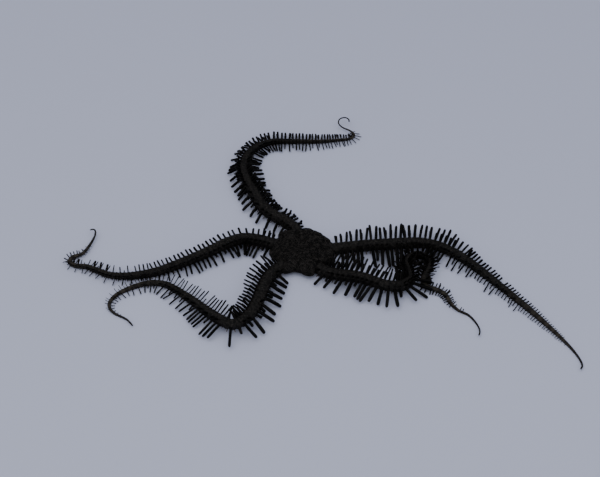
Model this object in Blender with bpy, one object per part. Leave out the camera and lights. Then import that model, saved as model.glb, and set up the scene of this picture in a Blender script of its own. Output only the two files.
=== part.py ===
"""A black brittle star at life size, lying on its mouth side with its five long spiny arms bent and curled.

Lengths in this file are millimetres until a mesh is made, which is in metres. +Z is up, the floor is z = 0,
and the origin is the centre of the mouth at floor level. Every node faces the next one across a thin gap.
"""

import math
import random

import bmesh
import bpy
import numpy as np

MM = 0.001
UP = np.array([0.0, 0.0, 1.0])
SAMPLE = 0.15  # spacing of the samples along each arm's centre line
GAP = 2 * SAMPLE  # clearance between neighbouring nodes
SEED = 7
RAYS = 5  # arms, and jaws
ROUGHNESS = 0.45  # of the wet skin
SHARP_ANGLE = 50.0  # edges sharper than this are not shaded smooth, in degrees

# The disc
DISC_RADIUS = 13.2
DISC_HEIGHT = 6.4
MARGIN_HEIGHT = 2.5  # height of the disc's widest line
UNDERSIDE = 0.8  # height of the disc's lower skin between the arms
NOTCH_DEPTH = 1.5  # how far the margin draws in above each arm
NOTCH_HALF_ANGLE = 15.0
RIPPLE = 0.2  # soft waves of the margin between two arms
RIPPLES = 17  # how many of them go round the whole disc
LOBES = [  # where the margin swells or draws in between two arms: direction, size, and half width in degrees
    (-118, 2.4, 6.5), (-77, 2.6, 12), (-25, 1.0, 14), (50, -1.2, 26), (131, 0.8, 12), (-167, 0.8, 12),
]
DISC_SIDES = 58
DISC_PROFILE = [  # share of the radius, and height, from the underside over the margin to the back
    (0.5, UNDERSIDE), (0.86, UNDERSIDE + 0.05), (0.97, MARGIN_HEIGHT - 1.0), (1.0, MARGIN_HEIGHT),
    (0.97, MARGIN_HEIGHT + 1.3), (0.87, DISC_HEIGHT - 1.2), (0.66, DISC_HEIGHT - 0.45),
    (0.36, DISC_HEIGHT - 0.1),
]

# The mouth
JAW_RADIUS = 4.2
JAW_HEIGHT = 2.2
SLIT_WIDTH = 0.5
SLIT_START = 0.9
SLIT_END = 3.2
SLIT_DEPTH = 1.1
SLIT_TAPER = 0.5  # the slit's width near the middle of the mouth, as a share of its full width
STUB_START = 3.4  # where the arms begin under the disc
STUB_END = DISC_RADIUS + 0.4

# The arms: share of the arm's length from the disc's margin, and the core's width there
ARM_WIDTH = [(0.0, 5.2), (0.2, 5.0), (0.4, 4.2), (0.55, 3.3), (0.72, 2.3), (0.92, 1.0), (1.0, 0.6)]
ARM_HEIGHT = 0.85  # height of the core, as a share of its width
EASING = 60  # rounds of averaging that ease an arm's bends
RING_STEP = 4.4  # the widest spacing of the core's rings
RING_STEP_TIP = 2.0  # and the spacing where the arm is finest
RING_TURN = 18.0  # and the most an arm turns between two rings, in degrees
HALF_SECTION = [(0.30, 0.0), (0.50, 0.34), (0.41, 0.78), (0.14, 1.0)]  # from the flat underside to the back
SECTION = HALF_SECTION + [(-across, rise) for across, rise in reversed(HALF_SECTION)]

# The spines: share of the arm's length, and the length and thickness of the longest spines there
LONGEST_SPINE = 8.6
SPINE_LENGTH = [
    (0.0, 3.4), (0.05, 5.6), (0.12, 8.2), (0.32, LONGEST_SPINE), (0.42, 6.8), (0.6, 4.5), (0.9, 1.6),
]
SPINE_THICKNESS = [(0.0, 1.05), (0.15, 1.25), (0.35, 1.15), (0.5, 0.85), (0.7, 0.75)]
LENGTH_SPREAD = (0.88, 1.1)  # how the spines of one place differ in length
FIRST_SPINE = 1.6  # distance of the first spines from the disc's margin
LAST_SPINE = 0.86  # share of the arm's length where the spines of these solids end
STATION_STEP = 3.35  # spacing of the spines along the arm's base, and towards its tip
STATION_STEP_TIP = 3.5
SPINE_ROWS = [  # place along the station, root height share, rise in degrees, length share
    ("side", 0.25, 0.42, 4.0, 1.0),
    ("upper", 0.75, 0.72, 36.0, 0.46),
]
SPINE_LEAN = 6.0  # how far the spines lean towards the arm's tip, in degrees
LEAN_SPREAD = 11.0
RISE_SPREAD = 5.0
SPINE_SHOULDER = 0.82  # where a spine starts to close into its blunt tip
SPINE_TAPER = 0.85  # its thickness there, as a share of its thickness at the root
SQUARE_SPINE = 0.95  # spines thicker than this have four sides, and finer ones three
SPINE_TRIES = [  # length share and added rise that are tried in turn until a spine stands clear
    (1.0, 0.0), (0.85, 0.0), (0.85, 14.0), (0.7, 0.0), (0.7, 25.0), (0.55, 0.0), (0.55, 30.0), (0.42, 0.0),
]
ROOT_ACROSS = 0.18  # where a spine's root ring is sunk, as a share of the arm's width from its middle
END_MARGIN = 1.2  # distance of a spine from its node's ends
STEEPEST_DROOP = 0.4  # sine of the steepest fall of a side spine, where the arm arches off the floor
FLOOR_CLEARANCE = 0.35
DISC_CLEARANCE = 0.9
NODE_CLEARANCE = GAP + 0.1  # from a spine's side to another node
MATE_CLEARANCE = 0.05  # from a spine's side to its own node's core and spines
REACH_SPARE = 1.5  # a node reaches past its core by at most this many longest spines
PROBES = 9  # points along a spine that are measured

# Route of each arm: x and y on the floor, and how high the underside is lifted there.
# The first two points lie under the disc, and the last one is the tip.
ROUTES = {
    "arm_right": [
        (3.0, 0.4, 0), (13.0, 1.6, 0), (28.0, 2.9, 0.8), (40.5, 3.6, 1.2), (48.0, 4.4, 1.0),
        (55.5, 3.2, 0.6), (62.8, -0.9, 0.2), (69.5, -7.2, 0), (82.3, -22.9, 0), (94.0, -38.3, 0),
        (104.2, -54.2, 0), (106.7, -60.3, 0), (107.0, -63.4, 0.3), (105.8, -65.6, 0.8),
    ],
    "arm_front_right": [
        (1.6, -2.6, 0), (7.0, -10.9, 0), (14.0, -14.9, 0.9), (23.0, -18.0, 2.2), (33.0, -22.2, 2.0),
        (39.3, -21.6, 1.0), (43.3, -17.5, 0.4), (43.4, -12.0, 0), (42.5, -7.0, 0), (44.1, -3.0, 0),
        (48.0, -1.4, 0), (51.5, -3.4, 0), (52.2, -8.2, 0), (50.0, -13.2, 0), (48.9, -17.0, 0),
        (50.3, -20.2, 0), (53.5, -21.3, 0), (57.4, -24.2, 0), (59.2, -29.2, 0), (62.0, -33.2, 0),
        (65.8, -35.7, 0), (69.0, -41.8, 0.2), (69.4, -45.2, 0.5), (68.6, -48.0, 1.0),
    ],
    "arm_front_left": [
        (-2.1, -2.2, 0), (-9.0, -9.3, 0), (-13.8, -16.0, 0.6), (-16.2, -23.0, 1.3), (-18.3, -31.8, 2.0),
        (-22.2, -41.0, 2.5), (-27.3, -44.8, 2.5), (-33.4, -41.0, 2.0), (-46.3, -27.0, 0.4),
        (-56.0, -18.8, 0), (-62.5, -17.9, 0), (-69.5, -20.4, 0), (-75.8, -25.0, 0), (-77.8, -30.2, 0),
        (-75.6, -34.4, 0), (-70.0, -38.2, 0.2), (-67.1, -42.2, 0.6),
    ],
    "arm_left": [
        (-2.8, 1.0, 0), (-12.0, 4.4, 0), (-18.4, 6.6, 0.3), (-24.8, 7.2, 0.6), (-31.4, 4.0, 1.0),
        (-38.0, -0.6, 1.0), (-50.7, -7.6, 0.3), (-60.0, -11.8, 0), (-70.0, -14.0, 0), (-79.0, -13.4, 0),
        (-84.5, -10.5, 0), (-89.5, -8.0, 0), (-94.0, -7.4, 0), (-96.7, -5.0, 0.2), (-95.4, -2.2, 0.4),
        (-92.2, -1.0, 0.6), (-90.2, 2.2, 0.8), (-87.5, 11.4, 1.4), (-88.3, 14.0, 1.8),
        (-90.2, 13.0, 2.0),
    ],
    "arm_back": [
        (-0.6, 3.0, 0), (-2.7, 12.4, 0), (-7.2, 18.0, 0.4), (-13.4, 22.6, 0.8), (-18.0, 28.6, 1.0),
        (-21.0, 36.0, 1.0), (-24.4, 45.0, 0.8), (-26.4, 54.5, 0.4), (-25.0, 63.8, 0.1),
        (-20.6, 70.8, 0), (-14.0, 74.8, 0), (-5.0, 75.2, 0), (7.5, 75.5, 0), (18.6, 77.1, 0.1),
        (22.4, 77.8, 0.4), (23.7, 80.2, 0.8), (21.4, 82.8, 1.2), (18.2, 84.6, 1.6), (16.4, 87.6, 2.0),
        (17.4, 90.4, 2.4), (20.0, 90.5, 2.8), (21.4, 88.2, 3.2), (21.3, 86.2, 3.4),
    ],
}
# How long each arm's spines are, and how soon it thins, beside the profiles above
BUILDS = {
    "arm_right": (1.0, 1.0),
    "arm_front_right": (1.06, 1.05),
    "arm_front_left": (0.94, 1.0),
    "arm_left": (0.76, 1.0),
    "arm_back": (0.74, 1.1),
}
# Shares of each arm's length where one node ends and the next begins
CUTS = {
    "arm_right": [0.24, 0.46, 0.72],
    "arm_front_right": [0.17, 0.37, 0.5, 0.68],
    "arm_front_left": [0.17, 0.365, 0.6, 0.86],
    "arm_left": [0.15, 0.37, 0.6, 0.8],
    "arm_back": [0.17, 0.34, 0.51, 0.7, 0.85],
}

COLOURS = {"arm": (0.012, 0.011, 0.011), "disc": (0.014, 0.013, 0.013), "mouth": (0.05, 0.04, 0.035)}


def clear_scene():
    for item in list(bpy.data.objects):
        bpy.data.objects.remove(item)


def material(name):
    """The named finish: nearly black, wet skin."""
    found = bpy.data.materials.get(name)
    if found:
        return found
    made = bpy.data.materials.new(name)
    made.use_nodes = True
    shader = made.node_tree.nodes["Principled BSDF"]
    shader.inputs["Base Color"].default_value = (*COLOURS[name], 1.0)
    shader.inputs["Roughness"].default_value = ROUGHNESS
    shader.inputs["Metallic"].default_value = 0.0
    return made


def object_of(name, points, faces, finish):
    """A mesh object in the scene from points in millimetres, its faces turned outwards."""
    mesh = bpy.data.meshes.new(name)
    mesh.from_pydata([[c * MM for c in p] for p in points], [], faces)
    shape = bmesh.new()
    shape.from_mesh(mesh)
    bmesh.ops.recalc_face_normals(shape, faces=shape.faces)
    shape.to_mesh(mesh)
    shape.free()
    made = bpy.data.objects.new(name, mesh)
    made.data.materials.append(material(finish))
    bpy.context.scene.collection.objects.link(made)
    return made


def along(profile, share):
    """The value of a profile at a share of the arm's length."""
    return float(np.interp(share, [p[0] for p in profile], [p[1] for p in profile]))


class Arm:
    """The centre line of one arm, sampled finely, with its width and its own left and up directions."""

    SPAN_POINTS = 60  # points of the curve between two waypoints

    def __init__(self, name, waypoints):
        self.name = name
        line = self.even(self.curve(np.array(waypoints, float)))
        for _ in range(EASING):
            line[2:-2] = (line[1:-3] + 2 * line[2:-2] + line[3:-1]) / 4
        line = self.even(line)
        self.arc = np.arange(len(line)) * SAMPLE
        self.under = line
        self.root = self.index_at_radius(DISC_RADIUS)
        self.length = self.arc[-1] - self.arc[self.root]
        self.share = np.clip((self.arc - self.arc[self.root]) / self.length, 0, 1)
        self.spine_scale, thinning = BUILDS[name]
        self.width = np.array([along(ARM_WIDTH, f * thinning) for f in self.share])
        self.height = self.width * ARM_HEIGHT
        self.centre = line + UP * self.height[:, None] / 2
        tangent = np.gradient(line, axis=0)
        self.tangent = tangent / np.linalg.norm(tangent, axis=1)[:, None]
        left = np.cross(UP, self.tangent)
        self.left = left / np.linalg.norm(left, axis=1)[:, None]
        self.up = np.cross(self.tangent, self.left)

    def curve(self, knots):
        """A centripetal Catmull-Rom curve through the waypoints, with many points."""
        ends = np.vstack([2 * knots[0] - knots[1], knots, 2 * knots[-1] - knots[-2]])
        found = []
        for a, b, c, d in zip(ends, ends[1:], ends[2:], ends[3:]):
            t1 = math.sqrt(np.linalg.norm(b - a))
            t2 = t1 + math.sqrt(np.linalg.norm(c - b))
            t3 = t2 + math.sqrt(np.linalg.norm(d - c))
            for t in np.linspace(t1, t2, self.SPAN_POINTS, endpoint=False):
                ab = a + (b - a) * t / t1
                bc = b + (c - b) * (t - t1) / (t2 - t1)
                cd = c + (d - c) * (t - t2) / (t3 - t2)
                abc = ab + (bc - ab) * t / t2
                bcd = bc + (cd - bc) * (t - t1) / (t3 - t1)
                found.append(abc + (bcd - abc) * (t - t1) / (t2 - t1))
        return np.array(found + [knots[-1]])

    def even(self, line):
        """The same line with its points one step apart."""
        reach = np.concatenate([[0], np.cumsum(np.linalg.norm(np.diff(line, axis=0), axis=1))])
        places = np.arange(0, reach[-1], SAMPLE)
        return np.stack([np.interp(places, reach, line[:, k]) for k in range(3)], axis=1)

    def index_at(self, share):
        """The sample at a share of the arm's length."""
        return self.root + round(share * self.length / SAMPLE)

    def index_at_radius(self, radius):
        """The first sample further than a radius from the middle of the mouth."""
        return int(np.argmax(np.hypot(self.under[:, 0], self.under[:, 1]) > radius))

    def point(self, i, across, rise):
        """A point of the cross-section at sample i: across and rise are shares of the width and height."""
        offset = self.left[i] * across * self.width[i] + self.up[i] * rise * self.height[i]
        return self.under[i] + offset

    def rings(self, first, last):
        """Samples for the core's rings: wide apart on a straight stretch, closer on a bend."""
        heading = np.unwrap(np.arctan2(self.tangent[:, 1], self.tangent[:, 0]))
        turned = np.abs(np.gradient(heading))
        spacing = np.interp(self.width, [ARM_WIDTH[-1][1], ARM_WIDTH[0][1]], [RING_STEP_TIP, RING_STEP])
        pace = SAMPLE / spacing + turned / math.radians(RING_TURN)
        travel = np.concatenate([[0], np.cumsum(pace[first:last])])
        marks = np.linspace(0, travel[-1], max(2, math.ceil(travel[-1])) + 1)
        return [first + round(i) for i in np.interp(marks, travel, np.arange(len(travel)))]

    def tube(self, name, first, last, finish, to_tip=False):
        """The core between two samples, closed by a flat end at each, or by a point at the arm's tip."""
        points, faces = [], []
        sides = len(SECTION)
        chosen = self.rings(first, last)
        for i in chosen:
            points += [self.point(i, across, rise) for across, rise in SECTION]
        for row in range(len(chosen) - 1):
            for k in range(sides):
                a, b = row * sides + k, row * sides + (k + 1) % sides
                faces.append((a, b, b + sides, a + sides))
        faces.append(tuple(range(sides)))
        end = (len(chosen) - 1) * sides
        if to_tip:
            points.append(self.point(last, 0, 0.5) + self.tangent[last] * self.width[last])
            faces += [(end + k, end + (k + 1) % sides, len(points) - 1) for k in range(sides)]
        else:
            faces.append(tuple(range(end, end + sides)))
        return object_of(name, points, faces, finish)


class Stretch:
    """One node of an arm: the samples from first to last, and the spines that stand on them."""

    def __init__(self, arm, number, first, last, to_tip):
        self.arm = arm
        self.name = f"{arm.name}_{number}"
        self.first = first
        self.last = last
        self.to_tip = to_tip
        self.spines = []
        core = arm.centre[first : last + 1]
        self.middle = core.mean(axis=0)
        self.reach = np.linalg.norm(core - self.middle, axis=1).max() + REACH_SPARE * LONGEST_SPINE

    def holds(self, points, thickness, clearance):
        """True where a round piece at these points would come closer to the core than the clearance."""
        core = self.arm.centre[self.first : self.last + 1]
        gaps = np.linalg.norm(points[:, None] - core[None], axis=2)
        nearest = gaps.argmin(axis=1)
        away = gaps.min(axis=1)
        reach = self.arm.width[self.first + nearest] / 2 + thickness / 2 + clearance
        offset = points - core[nearest]
        forward = np.einsum("ij,ij->i", offset, self.arm.tangent[self.first + nearest])
        beyond = (nearest == 0) & (forward < -thickness / 2 - clearance)
        beyond |= (nearest == len(core) - 1) & (forward > thickness / 2 + clearance) & (not self.to_tip)
        return bool(((away < reach) & ~beyond).any())


def stretches_of(arm):
    """The nodes of an arm, with the gap left out at each cut."""
    gap = round(GAP / SAMPLE)
    cuts = [arm.index_at(share) for share in CUTS[arm.name]]
    edges = [arm.index_at_radius(STUB_END) + gap]
    for cut in cuts:
        edges += [cut, cut + gap]
    edges.append(len(arm.arc) - 1)
    pairs = list(zip(edges[::2], edges[1::2]))
    return [Stretch(arm, k + 1, a, b, k == len(pairs) - 1) for k, (a, b) in enumerate(pairs)]


def closest(p1, q1, p2, q2):
    """The least distance between two line pieces, from a few points along each."""
    t = np.linspace(0, 1, PROBES)[:, None]
    a = p1 + (q1 - p1) * t
    b = p2 + (q2 - p2) * t
    return np.linalg.norm(a[:, None] - b[None], axis=2).min()


class Spine:
    """One spine: its sunk root, its tip, and its thickness."""

    def __init__(self, root, direction, sunk, length, thickness):
        self.sides = 4 if thickness > SQUARE_SPINE else 3
        self.root = root
        self.direction = direction
        self.tip = root + direction * (sunk + length)
        self.skin = root + direction * (sunk + thickness / 2)  # just outside the core
        self.thickness = thickness

    def over_disc(self, point, exits):
        """True where a point lies over the disc, or too close to its side."""
        edge = margin_radius(math.atan2(point[1], point[0]), exits) + DISC_CLEARANCE
        return math.hypot(point[0], point[1]) < edge and point[2] < DISC_HEIGHT + DISC_CLEARANCE

    def fits(self, home, stretches, exits):
        """True if it clears the floor, the disc, every core and the spines that stand already."""
        if self.tip[2] < FLOOR_CLEARANCE:
            return False
        points = self.skin + (self.tip - self.skin) * np.linspace(1 / PROBES, 1, PROBES)[:, None]
        if any(self.over_disc(point, exits) for point in points):
            return False
        for other in stretches:
            if np.linalg.norm(other.middle - self.root) > other.reach + LONGEST_SPINE:
                continue
            clearance = MATE_CLEARANCE if other is home else NODE_CLEARANCE
            if other.holds(points, self.thickness, clearance):
                return False
            for mate in other.spines:
                apart = closest(self.skin, self.tip, mate.skin, mate.tip)
                if apart < (self.thickness + mate.thickness) / 2 + clearance:
                    return False
        return True

    def solid(self, name):
        """A tapered rod with a blunt tip, as a closed mesh object."""
        sides = self.sides
        across = np.cross(self.direction, UP)
        across /= np.linalg.norm(across)
        upward = np.cross(across, self.direction)
        points = []
        for share, taper in ((0.0, 1.0), (SPINE_SHOULDER, SPINE_TAPER)):
            middle = self.root + (self.tip - self.root) * share
            for k in range(sides):
                turn = 2 * math.pi * (k + 0.5) / sides
                spoke = across * math.cos(turn) + upward * math.sin(turn)
                points.append(middle + spoke * self.thickness / 2 * taper)
        points.append(self.tip)
        faces = [tuple(range(sides))]
        for k in range(sides):
            after = (k + 1) % sides
            faces += [(k, after, sides + after, sides + k), (sides + k, sides + after, 2 * sides)]
        return object_of(name, points, faces, "arm")


def spine_direction(arm, i, side, rise, lean):
    """A direction that leaves the arm sideways, rises by some degrees and leans towards the tip."""
    flat = arm.left[i] * side * math.cos(lean) + arm.tangent[i] * math.sin(lean)
    flat[2] = 0
    flat /= np.linalg.norm(flat)
    return flat * math.cos(rise) + UP * math.sin(rise)


def grow_spines(stretch, stretches, exits, dice):
    """Sets rows of spines along one node, each shortened or raised until it stands clear."""
    arm = stretch.arm
    start = arm.arc[stretch.first] + END_MARGIN
    room = arm.arc[stretch.last] - END_MARGIN - start
    step = along([(0.0, STATION_STEP), (1.0, STATION_STEP_TIP)], arm.share[stretch.first])
    count = max(1, round(room / step))
    for station in range(count):
        for row, offset, root_rise, rise, length_share in SPINE_ROWS:
            for side in (1, -1):
                i = round((start + room * (station + offset) / count) / SAMPLE)
                share = arm.share[i]
                if share > LAST_SPINE or arm.arc[i] < arm.arc[arm.root] + FIRST_SPINE:
                    continue
                thickness = along(SPINE_THICKNESS, share)
                length = along(SPINE_LENGTH, share) * arm.spine_scale
                length *= length_share * dice.uniform(*LENGTH_SPREAD)
                lean = math.radians(SPINE_LEAN + dice.uniform(-LEAN_SPREAD, LEAN_SPREAD))
                tilt = rise + dice.uniform(-RISE_SPREAD, RISE_SPREAD)
                root = arm.point(i, ROOT_ACROSS * side, root_rise)
                sunk = (0.5 - ROOT_ACROSS) * arm.width[i]
                if row == "side":
                    drop = (root[2] - FLOOR_CLEARANCE - thickness / 2) / (length + sunk)
                    tilt -= math.degrees(math.asin(min(max(drop, 0.0), STEEPEST_DROOP)))
                for shorter, higher in SPINE_TRIES:
                    direction = spine_direction(arm, i, side, math.radians(tilt + higher), lean)
                    spine = Spine(root, direction, sunk, length * shorter, thickness)
                    if spine.fits(stretch, stretches, exits):
                        stretch.spines.append(spine)
                        break


def evaluated_mesh(item):
    bpy.context.view_layer.update()
    graph = bpy.context.evaluated_depsgraph_get()
    return bpy.data.meshes.new_from_object(item.evaluated_get(graph))


def keep_largest(mesh):
    """Leaves only the closed surface with the most faces."""
    shape = bmesh.new()
    shape.from_mesh(mesh)
    unseen = set(shape.faces)
    shells = []
    while unseen:
        front = [unseen.pop()]
        shell = set(front)
        while front:
            face = front.pop()
            for edge in face.edges:
                for neighbour in edge.link_faces:
                    if neighbour in unseen:
                        unseen.discard(neighbour)
                        shell.add(neighbour)
                        front.append(neighbour)
        shells.append(shell)
    largest = max(shells, key=len)
    spare = [face for shell in shells if shell is not largest for face in shell]
    bmesh.ops.delete(shape, geom=spare, context="FACES")
    loose = [vertex for vertex in shape.verts if not vertex.link_faces]
    bmesh.ops.delete(shape, geom=loose, context="VERTS")
    shape.to_mesh(mesh)
    shape.free()


def combine(base, pieces, operation):
    """Joins the pieces to the base, or cuts them from it, in one Boolean, and removes them."""
    group = bpy.data.collections.new(base.name + "_pieces")
    bpy.context.scene.collection.children.link(group)
    for piece in pieces:
        bpy.context.scene.collection.objects.unlink(piece)
        group.objects.link(piece)
    change = base.modifiers.new(operation.lower(), "BOOLEAN")
    change.operation = operation
    change.operand_type = "COLLECTION"
    change.collection = group
    change.solver = "MANIFOLD"
    joined = evaluated_mesh(base)
    base.modifiers.remove(change)
    keep_largest(joined)
    base.data = joined
    for piece in pieces:
        bpy.data.objects.remove(piece)
    bpy.data.collections.remove(group)


def smooth_shading(item):
    item.data.shade_smooth()
    item.data.set_sharp_from_angle(angle=math.radians(SHARP_ANGLE))


def margin_radius(angle, exits):
    """The disc's outline: drawn in above each arm, and lobed and softly waved between two arms."""
    radius = DISC_RADIUS + RIPPLE * math.cos(angle * RIPPLES)
    notches = [(math.degrees(exit_angle), -NOTCH_DEPTH, NOTCH_HALF_ANGLE) for exit_angle in exits]
    for place, size, half in notches + LOBES:
        off = (math.degrees(angle) - place + 180) % 360 - 180
        radius += size * math.exp(-((off / half) ** 2))
    return radius


def disc_body(exits):
    """The low dome of the disc, from its underside to the middle of its back."""
    points, faces = [], []
    for share, rise in DISC_PROFILE:
        for k in range(DISC_SIDES):
            angle = 2 * math.pi * k / DISC_SIDES
            relief = margin_radius(angle, exits) - DISC_RADIUS  # fades towards the middle of the disc
            radius = (DISC_RADIUS + relief * share) * share
            points.append((radius * math.cos(angle), radius * math.sin(angle), rise))
    for row in range(len(DISC_PROFILE) - 1):
        for k in range(DISC_SIDES):
            a, b = row * DISC_SIDES + k, row * DISC_SIDES + (k + 1) % DISC_SIDES
            faces.append((a, b, b + DISC_SIDES, a + DISC_SIDES))
    points += [(0, 0, UNDERSIDE), (0, 0, DISC_HEIGHT)]
    top = (len(DISC_PROFILE) - 1) * DISC_SIDES
    for k in range(DISC_SIDES):
        after = (k + 1) % DISC_SIDES
        faces += [(k, after, len(points) - 2), (top + k, top + after, len(points) - 1)]
    return object_of("disc", points, faces, "disc")


def prism(name, radius, low, high, turn, finish):
    """An upright prism round the mouth, with one side for each ray."""
    points = []
    for rise in (low, high):
        for k in range(RAYS):
            angle = turn + 2 * math.pi * k / RAYS
            points.append((radius * math.cos(angle), radius * math.sin(angle), rise))
    faces = [tuple(range(RAYS)), tuple(range(RAYS, 2 * RAYS))]
    faces += [(k, (k + 1) % RAYS, (k + 1) % RAYS + RAYS, k + RAYS) for k in range(RAYS)]
    return object_of(name, points, faces, finish)


def mouth_slit(angle):
    """The cutter for the slit between two jaws, narrower towards the middle of the mouth."""
    outward = np.array([math.cos(angle), math.sin(angle), 0.0])
    across = np.cross(UP, outward) * SLIT_WIDTH / 2
    points = []
    for rise in (-SLIT_DEPTH, SLIT_DEPTH):
        for reach, taper in ((SLIT_START, SLIT_TAPER), (SLIT_END, 1.0)):
            middle = outward * reach + UP * rise
            points += [middle - across * taper, middle + across * taper]
    faces = [(0, 1, 3, 2), (4, 5, 7, 6), (0, 1, 5, 4), (2, 3, 7, 6), (0, 2, 6, 4), (1, 3, 7, 5)]
    return object_of("slit", points, faces, "mouth")


def build_disc(arms, exits):
    """The disc with the covered roots of the arms under it, and the jaws in their own pocket."""
    disc = disc_body(exits)
    stubs = []
    for arm in arms:
        first = arm.index_at_radius(STUB_START)
        stubs.append(arm.tube(arm.name + "_stub", first, arm.index_at_radius(STUB_END), "disc"))
    combine(disc, stubs, "UNION")
    turn = exits[0] + math.pi / RAYS
    pocket_radius = JAW_RADIUS + GAP / math.cos(math.pi / RAYS)
    pocket = prism("pocket", pocket_radius, -JAW_HEIGHT, JAW_HEIGHT + GAP, turn, "mouth")
    combine(disc, [pocket], "DIFFERENCE")
    jaws = prism("jaws", JAW_RADIUS, 0, JAW_HEIGHT, turn, "mouth")
    slits = [mouth_slit(exits[0] + 2 * math.pi * k / RAYS) for k in range(RAYS)]
    combine(jaws, slits, "DIFFERENCE")
    smooth_shading(disc)


def build_arms(arms, exits):
    """Every node of every arm: its core, joined with its spines."""
    stretches = [stretch for arm in arms for stretch in stretches_of(arm)]
    dice = random.Random(SEED)
    for stretch in stretches:
        grow_spines(stretch, stretches, exits, dice)
    for stretch in stretches:
        core = stretch.arm.tube(stretch.name, stretch.first, stretch.last, "arm", stretch.to_tip)
        rods = [spine.solid(f"{stretch.name}_spine_{k}") for k, spine in enumerate(stretch.spines)]
        if rods:
            combine(core, rods, "UNION")
        smooth_shading(core)


def main():
    clear_scene()
    arms = [Arm(name, waypoints) for name, waypoints in ROUTES.items()]
    exits = [math.atan2(*arm.under[arm.root][1::-1]) for arm in arms]
    build_disc(arms, exits)
    build_arms(arms, exits)


main()
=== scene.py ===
import math
import random
from collections import namedtuple

import bmesh
import bpy
import numpy as np
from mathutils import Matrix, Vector
from mathutils.kdtree import KDTree


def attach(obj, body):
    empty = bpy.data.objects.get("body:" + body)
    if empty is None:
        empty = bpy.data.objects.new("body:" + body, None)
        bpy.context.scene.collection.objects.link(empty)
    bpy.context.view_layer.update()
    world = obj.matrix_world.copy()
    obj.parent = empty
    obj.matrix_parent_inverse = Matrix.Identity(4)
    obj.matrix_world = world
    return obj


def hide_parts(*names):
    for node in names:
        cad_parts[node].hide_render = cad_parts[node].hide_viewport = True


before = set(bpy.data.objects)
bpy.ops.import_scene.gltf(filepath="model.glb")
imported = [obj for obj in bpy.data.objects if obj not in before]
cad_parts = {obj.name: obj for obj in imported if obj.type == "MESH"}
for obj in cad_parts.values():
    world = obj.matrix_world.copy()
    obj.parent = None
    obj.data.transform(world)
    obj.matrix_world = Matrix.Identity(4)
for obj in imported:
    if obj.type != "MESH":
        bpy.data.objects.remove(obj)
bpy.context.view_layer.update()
mm = 0.001  # lengths below are in millimetres until a mesh is made
up = np.array([0.0, 0.0, 1.0])
print("frame loaded with", len(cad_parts), "nodes")

# The arms' routes: x and y on the floor, and how high the underside is lifted there.
# The first two points lie under the disc and the last one is the tip.
armRoutes = {
    "right": [
        (3.0, 0.4, 0), (13.0, 1.6, 0), (28.0, 2.9, 0.8), (40.5, 3.6, 1.2), (48.0, 4.4, 1.0),
        (55.5, 3.2, 0.6), (62.8, -0.9, 0.2), (69.5, -7.2, 0), (82.3, -22.9, 0), (94.0, -38.3, 0),
        (104.2, -54.2, 0), (106.7, -60.3, 0), (107.0, -63.4, 0.3), (105.8, -65.6, 0.8),
    ],
    "front_right": [
        (1.6, -2.6, 0), (7.0, -10.9, 0), (14.0, -14.9, 0.9), (23.0, -18.0, 2.2), (33.0, -22.2, 2.0),
        (39.3, -21.6, 1.0), (43.3, -17.5, 0.4), (43.4, -12.0, 0), (42.5, -7.0, 0), (44.1, -3.0, 0),
        (48.0, -1.4, 0), (51.5, -3.4, 0), (52.2, -8.2, 0), (50.0, -13.2, 0), (48.9, -17.0, 0),
        (50.3, -20.2, 0), (53.5, -21.3, 0), (57.4, -24.2, 0), (59.2, -29.2, 0), (62.0, -33.2, 0),
        (65.8, -35.7, 0), (69.0, -41.8, 0.2), (69.4, -45.2, 0.5), (68.6, -48.0, 1.0),
    ],
    "front_left": [
        (-2.1, -2.2, 0), (-9.0, -9.3, 0), (-13.8, -16.0, 0.6), (-16.2, -23.0, 1.3), (-18.3, -31.8, 2.0),
        (-22.2, -41.0, 2.5), (-27.3, -44.8, 2.5), (-33.4, -41.0, 2.0), (-46.3, -27.0, 0.4),
        (-56.0, -18.8, 0), (-62.5, -17.9, 0), (-69.5, -20.4, 0), (-75.8, -25.0, 0), (-77.8, -30.2, 0),
        (-75.6, -34.4, 0), (-70.0, -38.2, 0.2), (-67.1, -42.2, 0.6),
    ],
    "left": [
        (-2.8, 1.0, 0), (-12.0, 4.4, 0), (-18.4, 6.6, 0.3), (-24.8, 7.2, 0.6), (-31.4, 4.0, 1.0),
        (-38.0, -0.6, 1.0), (-50.7, -7.6, 0.3), (-60.0, -11.8, 0), (-70.0, -14.0, 0), (-79.0, -13.4, 0),
        (-84.5, -10.5, 0), (-89.5, -8.0, 0), (-94.0, -7.4, 0), (-96.7, -5.0, 0.2), (-95.4, -2.2, 0.4),
        (-92.2, -1.0, 0.6), (-90.2, 2.2, 0.8), (-87.5, 11.4, 1.4), (-88.3, 14.0, 1.8),
        (-90.2, 13.0, 2.0),
    ],
    "back": [
        (-0.6, 3.0, 0), (-2.7, 12.4, 0), (-7.2, 18.0, 0.4), (-13.4, 22.6, 0.8), (-18.0, 28.6, 1.0),
        (-21.0, 36.0, 1.0), (-24.4, 45.0, 0.8), (-26.4, 54.5, 0.4), (-25.0, 63.8, 0.1),
        (-20.6, 70.8, 0), (-14.0, 74.8, 0), (-5.0, 75.2, 0), (7.5, 75.5, 0), (18.6, 77.1, 0.1),
        (22.4, 77.8, 0.4), (23.7, 80.2, 0.8), (21.4, 82.8, 1.2), (18.2, 84.6, 1.6), (16.4, 87.6, 2.0),
        (17.4, 90.4, 2.4), (20.0, 90.5, 2.8), (21.4, 88.2, 3.2), (21.3, 86.2, 3.4),
    ],
}

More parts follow.
